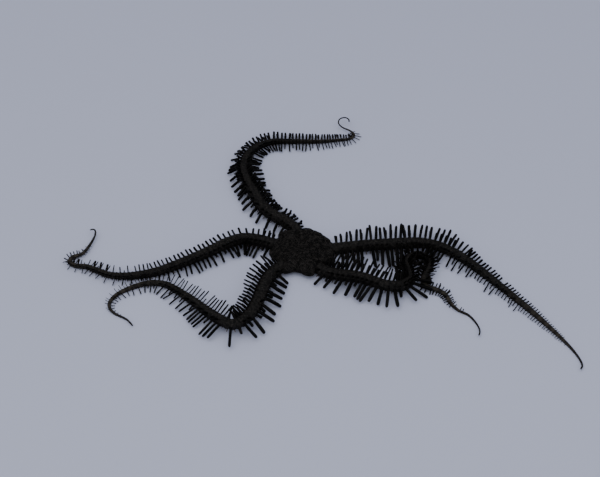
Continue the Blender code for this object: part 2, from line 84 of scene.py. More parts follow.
armSettings = {
    "sample": 0.15,  # spacing of the samples along a centre line
    "spanPoints": 60,  # points of the curve between two route points
    "easing": 60,  # rounds of averaging that ease the bends
    "width": [(0.0, 5.2), (0.2, 5.0), (0.4, 4.2), (0.55, 3.3), (0.72, 2.3), (0.92, 1.0), (1.0, 0.6)],
    "heightShare": 0.85,
    "sidePower": 0.8,  # powers of the sine and the cosine that make the arm's outline
    "flatPower": 0.75,
    "backPower": 0.1,  # added to both towards the back, which is rounder than the belly
    "slimming": 0.97,  # the skin lies just inside the solid cores
    "segment": [(0.0, 2.1), (0.3, 1.95), (0.6, 1.65), (0.75, 1.3), (0.88, 1.0), (1.0, 0.6)],
    "shortestSegment": 0.4,
    "startRadius": 4.4,  # where the arms begin under the disc
    "thinning": {"right": 1.0, "front_right": 1.05, "front_left": 1.0, "left": 1.0, "back": 1.1},
}

discSettings = {
    "radius": 13.2,
    "height": 6.4,
    "marginHeight": 2.5,  # height of the widest line
    "underside": 0.8,
    "crownPower": 3.6,  # the higher, the flatter the middle of the back
    "rimPower": 8,  # and the same for the underside
    "notchDepth": 1.5,  # how far the margin draws in above each arm
    "notchHalfAngle": 15.0,
    "lobes": [  # where the margin swells or draws in: direction, size, and half width in degrees
        (-121, 3.4, 8), (-76, 2.7, 13), (-25, 1.0, 14), (50, -1.2, 26), (131, 0.8, 12), (-167, 0.8, 12),
    ],
    "wave": 0.22,  # size of the margin's small waves, and their number all round
    "waves": 13,
    "wavePhase": 0.6,
    "fineWaves": 29,
    "shieldHeight": 0.16,  # two shields over each arm's root
    "shieldOff": 0.2,  # their angle from the arm's middle line
    "shieldHalf": 0.11,
    "shieldPlace": 0.74,  # share of the disc's radius
    "shieldReach": 0.14,
    "furrowDepth": 0.22,  # a shallow furrow between each two arms
    "furrowPlace": 0.62,
    "furrowReach": 0.24,
    "mouthRadius": 4.2,
    "mouthRim": 0.9,
    "mouthHeight": 2.6,
    "sides": 420,
    "rings": 64,
    "innerRing": 0.03,
    "crownPoint": 0.01,
}


def along(profile, share):  # a profile is one number, or pairs of a share of the arm and a value
    if isinstance(profile, float):
        return profile
    return np.interp(share, [p[0] for p in profile], [p[1] for p in profile])


def unit(vectors):
    return vectors / np.linalg.norm(vectors, axis=1)[:, None]


def allRound(sides):  # evenly spaced angles
    return np.linspace(0, 2 * math.pi, sides, endpoint=False)


def wrapped(angle, whole=2 * math.pi):  # the same direction, as half a turn or less either way
    return (angle + whole / 2) % whole - whole / 2


def polar(radius, angle, rise):
    return np.stack([radius * np.cos(angle), radius * np.sin(angle), rise], axis=-1)


class Arm:  # a sampled centre line with its width and its own left and up directions
    def __init__(self, name, number):
        s = armSettings
        self.name = name
        self.number = number
        line = self.even(self.curve(np.array(armRoutes[name], float)))
        for _ in range(s["easing"]):
            line[2:-2] = (line[1:-3] + 2 * line[2:-2] + line[3:-1]) / 4
        line = self.even(line)
        self.arc = np.arange(len(line)) * s["sample"]
        self.under = line
        radius = np.hypot(line[:, 0], line[:, 1])
        self.root = int(np.argmax(radius > discSettings["radius"]))
        self.begin = self.arc[int(np.argmax(radius > s["startRadius"]))]
        self.length = self.arc[-1] - self.arc[self.root]
        self.share = np.clip((self.arc - self.arc[self.root]) / self.length, 0, 1)
        self.width = along(s["width"], self.share * s["thinning"][name])
        self.height = self.width * s["heightShare"]
        self.centre = line + up * self.height[:, None] / 2
        self.tangent = unit(np.gradient(line, axis=0))
        self.left = unit(np.cross(up, self.tangent))
        self.up = np.cross(self.tangent, self.left)
        heading = np.unwrap(np.arctan2(self.tangent[:, 1], self.tangent[:, 0]))
        self.bend = np.gradient(heading, self.arc)  # how sharply it turns to the left, per millimetre
        self.bounds = self.segmentBounds()

    def curve(self, knots):  # a centripetal Catmull-Rom curve
        ends = np.vstack([2 * knots[0] - knots[1], knots, 2 * knots[-1] - knots[-2]])
        found = []
        for a, b, c, d in zip(ends, ends[1:], ends[2:], ends[3:]):
            t1 = math.sqrt(np.linalg.norm(b - a))
            t2 = t1 + math.sqrt(np.linalg.norm(c - b))
            t3 = t2 + math.sqrt(np.linalg.norm(d - c))
            for t in np.linspace(t1, t2, armSettings["spanPoints"], endpoint=False):
                ab = a + (b - a) * t / t1
                bc = b + (c - b) * (t - t1) / (t2 - t1)
                cd = c + (d - c) * (t - t2) / (t3 - t2)
                abc = ab + (bc - ab) * t / t2
                bcd = bc + (cd - bc) * (t - t1) / (t3 - t1)
                found.append(abc + (bcd - abc) * (t - t1) / (t2 - t1))
        return np.array(found + [knots[-1]])

    def even(self, line):
        reach = np.concatenate([[0], np.cumsum(np.linalg.norm(np.diff(line, axis=0), axis=1))])
        places = np.arange(0, reach[-1], armSettings["sample"])
        return np.stack([np.interp(places, reach, line[:, k]) for k in range(3)], axis=1)

    def segmentBounds(self):  # arc positions where one arm segment ends and the next begins
        marks = [self.begin]
        while marks[-1] < self.arc[-1] - armSettings["shortestSegment"]:
            share = np.interp(marks[-1], self.arc, self.share)
            marks.append(marks[-1] + float(along(armSettings["segment"], share)))
        marks[-1] = self.arc[-1]
        return np.array(marks)

    def at(self, values, arc):  # any sampled value at arc positions
        if values.ndim == 1:
            return np.interp(arc, self.arc, values)
        return np.stack([np.interp(arc, self.arc, values[:, k]) for k in range(3)], axis=-1)

    def phase(self, arc):  # number of the segment, and place along it
        return np.interp(arc, self.bounds, np.arange(len(self.bounds)))

    def segmentPlace(self, number, place):  # the arc, sample and share of the arm at a place on a segment
        low, high = self.bounds[number], self.bounds[number + 1]
        arc = low + (high - low) * place
        i = min(int(round(arc / armSettings["sample"])), len(self.arc) - 1)
        return arc, i, float(self.share[i])


arms = [Arm(name, k) for k, name in enumerate(armRoutes)]
exits = [math.atan2(arm.under[arm.root][1], arm.under[arm.root][0]) for arm in arms]


def rounded(wave, power):
    return 0.5 * np.sign(wave) * np.abs(wave) ** power


def sectionPoint(turn):  # the arm's outline: 0 is the middle of the underside and pi that of the back
    s = armSettings
    high = (1 - np.cos(turn)) / 2
    across = rounded(np.sin(turn), s["sidePower"] + s["backPower"] * high)
    rise = 0.5 - rounded(np.cos(turn), s["flatPower"] + s["backPower"] * high)
    return across, rise


reliefSettings = {  # depths are shares of the arm's width, and places along it shares of a segment
    "backPlate": 0.07,
    "backPlateHalf": 0.78,  # half the angle that the plates of the back cover
    "backPower": 1.4,  # how late a plate of the back rises towards its edge
    "backEdge": 0.9,
    "fan": 0.24,  # how far each plate's edge bows towards the tip
    "sidePlate": 0.06,
    "sidePlace": 0.66,
    "sideSpread": 0.2,
    "sideGroove": 0.045,
    "groovePlace": 0.08,
    "grooveSpread": 0.1,
    "seam": 0.035,  # between the plates of the back, the sides and the belly
    "seamSpread": 0.07,
    "crossSpread": 0.05,  # of the seams between one segment and the next
    "belly": 0.02,
    "bellyHalf": 0.72,
    "blend": 0.06,
    "bandEvery": 3.0,  # segments from one pale band of the thin ends to the next
    "bandEdges": (0.35, 0.65),
}


def smoothStep(low, high, value):
    t = np.clip((value - low) / (high - low), 0, 1)
    return t * t * (3 - 2 * t)


def bump(value, centre, spread):
    return np.exp(-(((value - centre) / spread) ** 2))


def plateRelief(phase, turn):  # height of the plates over the smooth arm, and how near a seam lies
    s = reliefSettings
    fromBack = np.abs(turn - math.pi)
    fromBelly = math.pi - fromBack
    backPhase = np.mod(phase + s["fan"] * (fromBack / s["backPlateHalf"]) ** 2, 1)
    back = s["backPlate"] * (backPhase ** s["backPower"]) * (1 - smoothStep(s["backEdge"], 1.0, backPhase))
    sidePhase = np.mod(phase, 1)
    side = s["sidePlate"] * bump(sidePhase, s["sidePlace"], s["sideSpread"])
    for end in (0, 1):
        side = side - s["sideGroove"] * bump(sidePhase, end + s["groovePlace"], s["grooveSpread"])
    bellyEdge = np.minimum(sidePhase, 1 - sidePhase)
    belly = -s["belly"] * bump(bellyEdge, 0, s["seamSpread"])
    onBack = 1 - smoothStep(s["backPlateHalf"] - s["blend"], s["backPlateHalf"] + s["blend"], fromBack)
    onBelly = 1 - smoothStep(s["bellyHalf"] - s["blend"], s["bellyHalf"] + s["blend"], fromBelly)
    seam = bump(fromBack, s["backPlateHalf"], s["seamSpread"])
    seam = seam + bump(fromBelly, s["bellyHalf"], s["seamSpread"])
    relief = onBack * back + onBelly * belly + (1 - onBack - onBelly) * side - s["seam"] * seam
    across = bump(np.minimum(backPhase, 1 - backPhase), 0, s["crossSpread"]) * onBack
    across = across + bump(bellyEdge, 0, s["crossSpread"]) * (1 - onBack)
    return relief, np.clip(seam + across, 0, 1)


def meshObject(name, points, faces, smooth=True):
    mesh = bpy.data.meshes.new(name)
    mesh.from_pydata((np.asarray(points) * mm).tolist(), [], faces)
    if smooth:
        mesh.shade_smooth()
    made = bpy.data.objects.new(name, mesh)
    bpy.context.scene.collection.objects.link(made)
    return made


def solid(name, points, faces):  # a closed surface, with its faces turned outwards
    made = meshObject(name, points, faces)
    shape = bmesh.new()
    shape.from_mesh(made.data)
    bmesh.ops.recalc_face_normals(shape, faces=shape.faces)
    shape.to_mesh(made.data)
    shape.free()
    return made


def setAttribute(piece, name, values):
    layer = piece.data.attributes.new(name, "FLOAT", "POINT")
    layer.data.foreach_set("value", np.asarray(values, np.float32))


def gridFaces(rows, columns):  # quads between closed rings of points
    row = np.arange(rows - 1)[:, None] * columns
    column = np.arange(columns)[None]
    after = (column + 1) % columns
    quads = np.stack([row + column, row + after, row + columns + after, row + columns + column], axis=-1)
    return quads.reshape(-1, 4).tolist()


skinSettings = {
    "armSides": 40,
    "ringPhases": [0.0, 0.08, 0.2, 0.34, 0.48, 0.6, 0.7, 0.8, 0.88, 0.95],
    "tipRound": 0.5,  # length of the rounded end of an arm
    "tipGap": 0.05,  # how far before the tip the last ring stands
    "tipLeast": 0.02,  # keeps that ring from closing
    "tipRise": 0.4,  # how far the rounded end leaves the floor, as a share of the arm's width
    "tipPoint": 0.02,
    "leastRelief": 0.15,  # share of the plates' height that is left inside a sharp bend
    "floorGap": 0.03,
}


def sectionNormals(across, rise):  # which way is out, all round the arm's outline
    acrossBy, riseBy = np.gradient(across), np.gradient(rise)
    acrossBy[0] = across[1] - across[-1]
    riseBy[0] = rise[1] - rise[-1]
    size = np.hypot(acrossBy, riseBy)
    return riseBy / size, -acrossBy / size


def armSkin(arm):
    s = skinSettings
    end = arm.arc[-1] - s["tipGap"]
    steps = np.diff(arm.bounds)
    arcs = (arm.bounds[:-1, None] + steps[:, None] * np.array(s["ringPhases"])[None]).ravel()
    arcs = np.append(arcs[arcs < end], end)
    sides = s["armSides"]
    turn = allRound(sides)
    across, rise = sectionPoint(turn)
    outX, outY = sectionNormals(across, rise)
    relief, _ = plateRelief(arm.phase(arcs)[:, None], turn[None])
    width = arm.at(arm.width, arcs)
    close = np.sqrt(np.clip((arm.arc[-1] - arcs) / s["tipRound"], s["tipLeast"], 1))
    squeeze = 1 - arm.at(arm.bend, arcs)[:, None] * across[None] * width[:, None]
    relief = relief * np.clip(squeeze, s["leastRelief"], 1.0)
    scale = (width * armSettings["slimming"] * close)[:, None]
    x = (across[None] + relief * outX[None]) * scale
    y = (rise[None] + relief * outY[None]) * scale * armSettings["heightShare"]
    base = arm.at(arm.under, arcs)[:, None] + up * ((1 - close) * width * s["tipRise"])[:, None, None]
    points = base + arm.at(arm.left, arcs)[:, None] * x[..., None]
    points = points + arm.at(arm.up, arcs)[:, None] * y[..., None]
    points[..., 2] = np.maximum(points[..., 2], s["floorGap"])
    tip = arm.under[-1] + up * arm.height[-1] / 2 + arm.tangent[-1] * s["tipPoint"]
    points = np.vstack([points.reshape(-1, 3), tip])
    last = (len(arcs) - 1) * sides
    faces = gridFaces(len(arcs), sides)
    faces.append(list(range(sides))[::-1])
    faces += [[last + k, last + (k + 1) % sides, len(points) - 1] for k in range(sides)]
    return solid("skin_" + arm.name, points, faces)


def marginRadius(angle):
    s = discSettings
    degrees = np.degrees(angle)
    radius = s["radius"] + s["wave"] * np.cos(angle * s["waves"] + s["wavePhase"])
    radius = radius + 0.5 * s["wave"] * np.cos(angle * s["fineWaves"])
    for exitAngle in exits:
        off = wrapped(degrees - math.degrees(exitAngle), 360)
        radius = radius - s["notchDepth"] * bump(off, 0, s["notchHalfAngle"])
    for place, size, half in s["lobes"]:
        radius = radius + size * bump(wrapped(degrees - place, 360), 0, half)
    return radius


def discReach(share, margin):  # the margin's lobes fade towards the middle of the disc
    base = discSettings["radius"]
    return (base + (margin - base) * share) * share


def discHeight(share, angle):  # height of the disc's back at a share of its radius
    s = discSettings
    crown = s["height"] - s["marginHeight"]
    high = s["marginHeight"] + crown * np.sqrt(np.clip(1 - share ** s["crownPower"], 0, 1))
    onShield = bump(share, s["shieldPlace"], s["shieldReach"])
    for exitAngle in exits:
        for side in (-1, 1):
            off = wrapped(angle - exitAngle - side * s["shieldOff"])
            high = high + s["shieldHeight"] * bump(off * share, 0, s["shieldHalf"]) * onShield
    middle = exits[0] + math.pi / 5
    between = np.cos(5 * (angle - middle)) * 0.5 + 0.5
    return high - s["furrowDepth"] * between * bump(share, s["furrowPlace"], s["furrowReach"])


def discPoint(share, angle, margin):  # a point on the disc's back
    return polar(discReach(share, margin), angle, discHeight(share, angle))


def discSkin():
    s = discSettings
    angle = allRound(s["sides"])
    margin = marginRadius(angle)
    shares = np.sin(np.linspace(s["innerRing"], math.pi / 2, s["rings"]))
    rows = []
    for share in shares[:-1]:
        curl = 1 - math.sqrt(1 - share ** s["rimPower"])
        radius = discReach(share, margin)
        inMouth = 1 - smoothStep(s["mouthRadius"] - s["mouthRim"], s["mouthRadius"], radius)
        rise = s["underside"] + (s["marginHeight"] - s["underside"]) * curl
        rise = rise + (s["mouthHeight"] - s["underside"]) * inMouth
        rows.append(polar(radius, angle, rise))
    rows += [discPoint(share, angle, margin) for share in shares[::-1]]
    points = np.concatenate(rows)
    low, high = len(points), len(points) + 1
    top = (len(rows) - 1) * s["sides"]
    lowest = (0, 0, float(rows[0][:, 2].mean()))
    highest = (0, 0, float(rows[-1][:, 2].mean()) + s["crownPoint"])
    points = np.vstack([points, lowest, highest])
    faces = gridFaces(len(rows), s["sides"])
    for k in range(s["sides"]):
        after = (k + 1) % s["sides"]
        faces += [[k, low, after], [top + k, top + after, high]]
    return solid("skin", points, faces)


def unite(base, pieces):
    group = bpy.data.collections.new(base.name + "_pieces")
    bpy.context.scene.collection.children.link(group)
    for piece in pieces:
        bpy.context.scene.collection.objects.unlink(piece)
        group.objects.link(piece)
    change = base.modifiers.new("unite", "BOOLEAN")
    change.operation = "UNION"
    change.operand_type = "COLLECTION"
    change.collection = group
    change.solver = "MANIFOLD"
    bpy.context.view_layer.update()
    graph = bpy.context.evaluated_depsgraph_get()
    joined = bpy.data.meshes.new_from_object(base.evaluated_get(graph))
    base.modifiers.remove(change)
    base.data = joined
    for piece in pieces:
        bpy.data.objects.remove(piece)
    bpy.data.collections.remove(group)


def keepLargest(piece):  # drops loose scraps that a union leaves
    shape = bmesh.new()
    shape.from_mesh(piece.data)
    unseen = set(shape.faces)
    shells = []
    while unseen:
        front = [unseen.pop()]
        shell = set(front)
        while front:
            for edge in front.pop().edges:
                for face in edge.link_faces:
                    if face in unseen:
                        unseen.discard(face)
                        shell.add(face)
                        front.append(face)
        shells.append(shell)
    largest = max(shells, key=len)
    spare = [face for shell in shells if shell is not largest for face in shell]
    bmesh.ops.delete(shape, geom=spare, context="FACES")
    shape.to_mesh(piece.data)
    shape.free()
    return len(shells)


layout = {  # where each place of the skin lies on its flat layout, in shares of its side
    "edge": 0.01,
    "stripLow": 0.40,  # one strip for each arm
    "stripStep": 0.12,
    "stripHeight": 0.11,
    "roundRadius": 0.19,  # and a round each for the disc's back and underside
    "roundBorder": 1.5,
    "roundLow": 0.2,
    "backPlace": 0.2,
    "undersidePlace": 0.6,
    "patch": 0.003,  # size of a spine's or grain's patch
}


def armPlace(number, lengthShare, turnShare):
    u = layout["edge"] + (1 - 2 * layout["edge"]) * lengthShare
    return u, layout["stripLow"] + number * layout["stripStep"] + layout["stripHeight"] * turnShare


def discPlace(x, y, isBack):
    reach = layout["roundRadius"] / (discSettings["radius"] + layout["roundBorder"])
    across = np.where(isBack, layout["backPlace"], layout["undersidePlace"])
    return across + x * reach, layout["roundLow"] + y * reach


def readAll(items, name, width=1, kind=np.int32):  # one property of all points, corners or faces
    values = np.empty(len(items) * width, kind)
    items.foreach_get(name, values)
    return values


def setLayout(piece, u, v):
    layer = piece.data.uv_layers.new(name="OFBake")
    layer.data.foreach_set("uv", np.stack([u, v], axis=-1).astype(np.float32).ravel())


class Core:  # finds the nearest place on any arm's centre line
    def __init__(self, arms, stride=3):
        picks = [np.arange(int(arm.begin / armSettings["sample"]), len(arm.arc), stride) for arm in arms]
        self.owner = np.concatenate([np.full(len(p), k) for k, p in enumerate(picks)])
        self.index = np.concatenate(picks)
        centres = np.concatenate([arm.centre[p] for arm, p in zip(arms, picks)])
        self.half = np.concatenate([arm.width[p] / 2 for arm, p in zip(arms, picks)])
        self.tree = KDTree(len(centres))
        for k, centre in enumerate(centres):
            self.tree.insert(centre, k)
        self.tree.balance()

    def nearest(self, point):
        _, k, away = self.tree.find(point)
        return k, away


discLimits = {  # near the middle, all skin that is off the arms' cores or high up is the disc's
    "beyond": 1.6,  # how far beyond the disc's radius this still holds
    "offCore": 1.12,
    "above": 4.6,
}


def findPlaces(points):  # where each point of the skin lies on the animal
    found = np.array([core.nearest(point)[0] for point in points])
    owner, index = core.owner[found], core.index[found]
    centres = np.array([arms[o].centre[i] for o, i in zip(owner, index)])
    share, seam, band, turn, arc = (np.zeros(len(points)) for _ in range(5))
    for k, arm in enumerate(arms):
        mine = np.nonzero(owner == k)[0]
        i = index[mine]
        offset = points[mine] - arm.centre[i]
        side = np.einsum("ij,ij->i", offset, arm.left[i]) / arm.width[i]
        high = np.einsum("ij,ij->i", offset, arm.up[i]) / arm.height[i]
        forward = np.einsum("ij,ij->i", offset, arm.tangent[i])
        turn[mine] = np.mod(np.arctan2(side, -high), 2 * math.pi)
        arc[mine] = arm.arc[i] + forward
        share[mine] = arm.share[i]
        phase = arm.phase(arc[mine])
        seam[mine] = plateRelief(phase, turn[mine])[1]
        wave = 0.5 + 0.5 * np.cos(phase * 2 * math.pi / reliefSettings["bandEvery"])
        band[mine] = smoothStep(*reliefSettings["bandEdges"], wave)
    isNear = np.hypot(points[:, 0], points[:, 1]) < discSettings["radius"] + discLimits["beyond"]
    offCore = np.linalg.norm(points - centres, axis=1)
    isOff = (offCore > core.half[found] * discLimits["offCore"]) | (points[:, 2] > discLimits["above"])
    onDisc = isNear & isOff
    seam[onDisc] = 0
    return owner, onDisc, turn, arc, share, seam, band


def describeSkin(skin):  # stores what the finish needs, and the flat layout
    points = readAll(skin.data.vertices, "co", 3, float).reshape(-1, 3) / mm
    owner, onDisc, turn, arc, share, seam, band = findPlaces(points)
    setAttribute(skin, "share", share)
    setAttribute(skin, "seam", seam)
    setAttribute(skin, "band", band)
    corners = readAll(skin.data.loops, "vertex_index")
    starts = readAll(skin.data.polygons, "loop_start")
    faceOf = np.repeat(np.arange(len(starts)), readAll(skin.data.polygons, "loop_total"))
    first = corners[starts][faceOf]  # the first corner settles which island a face is on
    around = turn[first] + wrapped(turn[corners] - turn[first])
    turnShare = np.clip(around / (2 * math.pi), 0, 1)
    lengths = np.array([arm.arc[-1] for arm in arms])
    armU, armV = armPlace(owner[first], arc[corners] / lengths[owner[first]], turnShare)
    isBack = points[first][:, 2] > discSettings["marginHeight"]
    discU, discV = discPlace(points[corners][:, 0], points[corners][:, 1], isBack)
    setLayout(skin, np.where(onDisc[first], discU, armU), np.where(onDisc[first], discV, armV))


core = Core(arms)
skin = discSkin()
unite(skin, [armSkin(arm) for arm in arms])
shellCount = keepLargest(skin)
skin.data.shade_smooth()
describeSkin(skin)
skin.data.materials.clear()
print("skin made:", len(skin.data.polygons), "faces from", shellCount, "closed surfaces")


spineSettings = {
    "seed": 11,
    "place": 0.7,  # where along its segment a fan of spines stands
    "placeSpread": 0.05,
    "rootDepth": 0.97,  # share of the arm's size where the roots lie
    "sunk": 0.35,  # how far spines go on below their roots, at most
    "sunkShare": 0.12,  # and against the arm's width
    "lengthSpread": (0.88, 1.06),
    "girthSpread": (0.92, 1.08),
    "shortGirth": 0.85,  # thickness of a short spine, against a full one
    "lean": 4.0,  # towards the tip, in degrees
    "leanSpread": 7.0,
    "riseSpread": 4.0,
    "bowSpread": 0.035,
    "steepestDroop": 0.5,  # sine of the steepest way down, and up, to lie on the floor
    "steepestRise": 0.9,
    "droopShare": 0.9,
    "firstFromMargin": 0.9,
    "lastShare": 0.975,
    "floorGap": 0.06,
    "checked": (0.28, 1.0, 9),  # stretch of a spine that is kept clear of all else, and its points
    "discClear": 0.5,
    "discLow": 0.9,
    "coreClear": 0.1,
    "touch": 0.78,  # spines may come this close, as a share of the sum of their half thicknesses
    "cell": 1.3,  # size of the cells in which near spines are looked for
    "sides": 8,
    "profile": [
        (0.0, 0.7), (0.05, 0.98), (0.1, 1.0), (0.15, 0.88), (0.3, 0.98), (0.6, 1.02), (0.88, 1.0),
        (0.955, 0.84), (0.99, 0.5),
    ],
    "meshSeed": 11,
}
longSpine = [
    (0.0, 4.6), (0.04, 6.6), (0.1, 8.1), (0.32, 8.7), (0.42, 7.3), (0.6, 5.4), (0.75, 3.9), (0.85, 2.3),
    (0.91, 0.9), (1.0, 0.4),
]
longGirth = [
    (0.0, 0.95), (0.1, 1.08), (0.3, 1.1), (0.4, 0.88), (0.5, 0.72), (0.62, 0.55), (0.8, 0.34), (1.0, 0.16),
]
hookCrest = [(0.27, 0.0), (0.32, 0.9), (0.58, 0.9), (0.64, 0.0)]
bareEnd = [(0.0, 1.0), (0.84, 1.0), (0.88, 0.0)]  # for the back arm, which bears none beyond its elbow
plainSide = {  # all but the lift and the short length may be profiles along the arm, as longSpine is
    "reach": 1.0,  # length of the long spines, against longSpine
    "girth": 1.0,  # and their thickness, against longGirth
    "lean": 0.0,  # added lean towards the tip, in degrees
    "lift": None,  # how far the long spines are held up, in degrees, or None where they droop to the floor
    "turn": 1.0,  # chance of a full long spine on every second segment
    "full": [(0.0, 0.8), (0.38, 0.8), (0.4, 0.0)],  # and on the others
    "middle": 0.7,  # chance of a short one where it isn't full
    "short": 0.4,  # its length, against a full one
    "crest": 0.0,  # chance of a spine in each of the other rows
    "top": 0.94,
    "low": 1.0,
}
spineSides = {  # each arm's two sides, 1 for its left one
    ("right", 1): {
        "reach": [(0.0, 0.9), (0.35, 0.88), (0.42, 0.62), (0.5, 0.42), (0.7, 0.38), (1.0, 0.28)],
        "girth": [(0.0, 1.1), (0.35, 1.1), (0.5, 1.25), (0.7, 1.25), (0.8, 0.85)],
        "lift": 10.0,
        "full": 0.95,
        "top": [(0.0, 0.94), (0.34, 0.94), (0.4, 0.2), (0.46, 0.0)],
    },
    ("right", -1): {
        "reach": [
            (0.0, 1.0), (0.08, 1.18), (0.28, 1.2), (0.38, 0.85), (0.46, 0.95), (0.85, 1.0), (0.94, 0.4),
        ],
        "girth": [(0.0, 1.25), (0.3, 1.25), (0.4, 0.9), (0.5, 1.0)],
        "lean": [(0.0, -7.0), (0.35, -7.0), (0.42, 12.0), (0.65, 12.0), (0.75, 0.0)],
        "turn": [(0.0, 1.0), (0.42, 1.0), (0.5, 0.45), (0.68, 0.3), (0.72, 0.0)],
        "full": [(0.0, 0.35), (0.32, 0.35), (0.36, 0.0)],
        "middle": [(0.0, 0.45), (0.38, 0.45), (0.45, 1.0)],
        "short": 0.58,
        "top": [(0.0, 0.94), (0.4, 0.94), (0.48, 0.35), (0.65, 0.3), (0.7, 0.0)],
        "low": 0.5,
    },
    ("front_right", 1): {
        "reach": [
            (0.0, 1.25), (0.1, 1.0), (0.2, 0.78), (0.4, 0.62), (0.6, 0.6), (0.7, 0.48), (0.8, 0.42),
            (0.86, 0.2),
        ],
        "girth": [(0.0, 0.95), (0.15, 0.8), (0.25, 0.62), (0.6, 0.62), (0.66, 1.3)],
        "lean": [(0.0, 0.0), (0.2, 8.0), (0.3, 22.0), (0.4, 8.0), (0.5, 0.0)],
        "lift": 22.0,
        "full": 1.0,
        "crest": hookCrest,
        "top": [(0.0, 0.94), (0.6, 0.94), (0.7, 0.4)],
    },
    ("front_right", -1): {
        "reach": [(0.0, 0.98), (0.5, 0.98), (0.65, 0.55), (0.8, 0.5), (0.86, 0.2)],
        "girth": [(0.0, 1.3), (0.4, 1.3), (0.5, 1.1), (0.6, 1.1), (0.66, 1.3)],
        "lean": [(0.0, -16.0), (0.2, -14.0), (0.27, -4.0), (0.34, 4.0), (0.45, 0.0)],
        "full": [(0.0, 0.0), (0.15, 0.0), (0.2, 0.7), (0.38, 0.7), (0.4, 0.0), (0.6, 0.0), (0.66, 0.8)],
        "crest": hookCrest,
        "middle": [(0.0, 0.4), (0.5, 0.5)],
        "top": [(0.0, 0.94), (0.6, 0.94), (0.7, 0.4)],
        "low": 0.3,
    },
    ("front_left", 1): {
        "reach": [(0.0, 0.86), (0.3, 0.9), (0.36, 1.04), (0.6, 1.06), (0.75, 0.95)],
        "girth": [(0.0, 1.36), (0.3, 1.32), (0.42, 1.15)],
        "lean": [(0.0, 8.0), (0.2, 6.0), (0.3, 0.0)],
        "full": [(0.0, 0.0), (0.3, 0.0), (0.38, 0.3), (0.46, 0.3), (0.48, 0.0)],
        "middle": [(0.0, 0.35), (0.28, 0.35), (0.4, 0.5)],
        "top": [(0.0, 0.15), (0.25, 0.15), (0.35, 0.45)],
        "low": 0.2,
    },
    ("front_left", -1): {
        "reach": [(0.0, 1.2), (0.08, 0.85), (0.16, 0.6), (0.3, 0.6), (0.36, 0.78), (0.7, 0.8), (0.85, 0.7)],
        "girth": [(0.0, 0.9), (0.12, 0.72), (0.32, 0.72), (0.42, 0.74)],
        "lift": 24.0,
        "full": [(0.0, 1.0), (0.7, 0.95), (0.8, 0.4)],
        "top": [(0.0, 1.0), (0.32, 1.0), (0.36, 0.0)],
    },
    ("left", 1): {
        "reach": [(0.0, 1.25), (0.1, 0.9), (0.2, 0.66)],
        "girth": [(0.0, 1.1), (0.15, 0.95), (0.3, 0.8)],
        "full": [(0.0, 0.6), (0.38, 0.6), (0.4, 0.0)],
    },
    ("left", -1): {
        "reach": [(0.0, 0.48), (0.3, 0.36), (0.42, 0.42), (0.55, 0.65)],
        "girth": 0.85,
        "lift": 12.0,
        "full": [(0.0, 1.0), (0.5, 1.0), (0.6, 0.3)],
        "top": [(0.0, 0.94), (0.06, 0.0), (0.5, 0.0), (0.6, 0.2)],
    },
    ("back", 1): {
        "reach": [(0.0, 0.72), (0.42, 0.74), (0.5, 0.62), (0.6, 0.85), (0.8, 1.15), (1.0, 1.0)],
        "girth": [(0.0, 1.15), (0.5, 1.15), (0.62, 1.6), (0.8, 1.7), (1.0, 1.2)],
        "lean": [(0.0, -14.0), (0.12, -30.0), (0.4, -30.0), (0.54, 0.0)],
        "turn": bareEnd,
        "full": [(0.0, 0.25), (0.4, 0.25), (0.48, 1.0), (0.8, 1.0), (0.82, 0.0)],
        "middle": [(0.0, 0.7), (0.84, 0.7), (0.88, 0.0)],
        "top": [(0.0, 0.7), (0.45, 0.7), (0.55, 1.0), (0.82, 1.0), (0.85, 0.0)],
        "low": 0.4,
    },
    ("back", -1): {
        "reach": [(0.0, 0.66), (0.5, 0.8), (0.6, 1.1), (0.85, 1.3)],
        "girth": [(0.0, 1.1), (0.5, 1.1), (0.6, 1.2)],
        "turn": bareEnd,
        "full": [(0.0, 0.3), (0.46, 0.3), (0.54, 0.7), (0.84, 0.7), (0.86, 0.0)],
        "middle": [(0.0, 0.7), (0.5, 0.7), (0.56, 1.0), (0.84, 1.0), (0.88, 0.0)],
        "short": 0.65,
        "top": [(0.0, 0.8), (0.45, 0.8), (0.55, 1.0), (0.82, 1.0), (0.85, 0.0)],
        "low": 0.4,
    },
}
sideTraits = {key: {**plainSide, **own} for key, own in spineSides.items()}
spineRows = {  # angle from the middle of the back, rise in degrees, and the last share of the arm
    "crest": {"angle": 0.35, "rise": 64.0, "last": 1.0, "length": 3.0, "girth": 0.7},
    "top": {
        "angle": 0.8, "rise": 44.0, "last": 1.0,
        "length": [(0.0, 2.6), (0.1, 3.4), (0.5, 3.3), (0.65, 2.9), (0.78, 2.1), (0.88, 0.8), (1.0, 0.3)],
        "girth": [(0.0, 0.9), (0.1, 1.05), (0.5, 1.0), (0.65, 0.85), (0.8, 0.5), (1.0, 0.17)],
    },
    "middle": {"angle": 1.5, "rise": 3.0, "last": 1.0, "share": 1.0, "shareGirth": 1.0},
    "low": {"angle": 2.05, "rise": -10.0, "last": 0.35, "share": 0.32, "shareGirth": 0.6},
}
spineTries = [  # added lean, added rise and length share, tried in turn
    (0, 0, 1.0), (5, 0, 1.0), (-5, 0, 1.0), (0, 6, 1.0), (0, -6, 1.0), (10, 0, 0.97), (-10, 0, 0.97),
    (14, 6, 0.92), (-14, 6, 0.92), (0, 12, 0.9), (8, 18, 0.85), (-8, 18, 0.85), (0, 26, 0.75), (0, 0, 0.6),
    (0, 30, 0.55), (0, 0, 0.42),
]


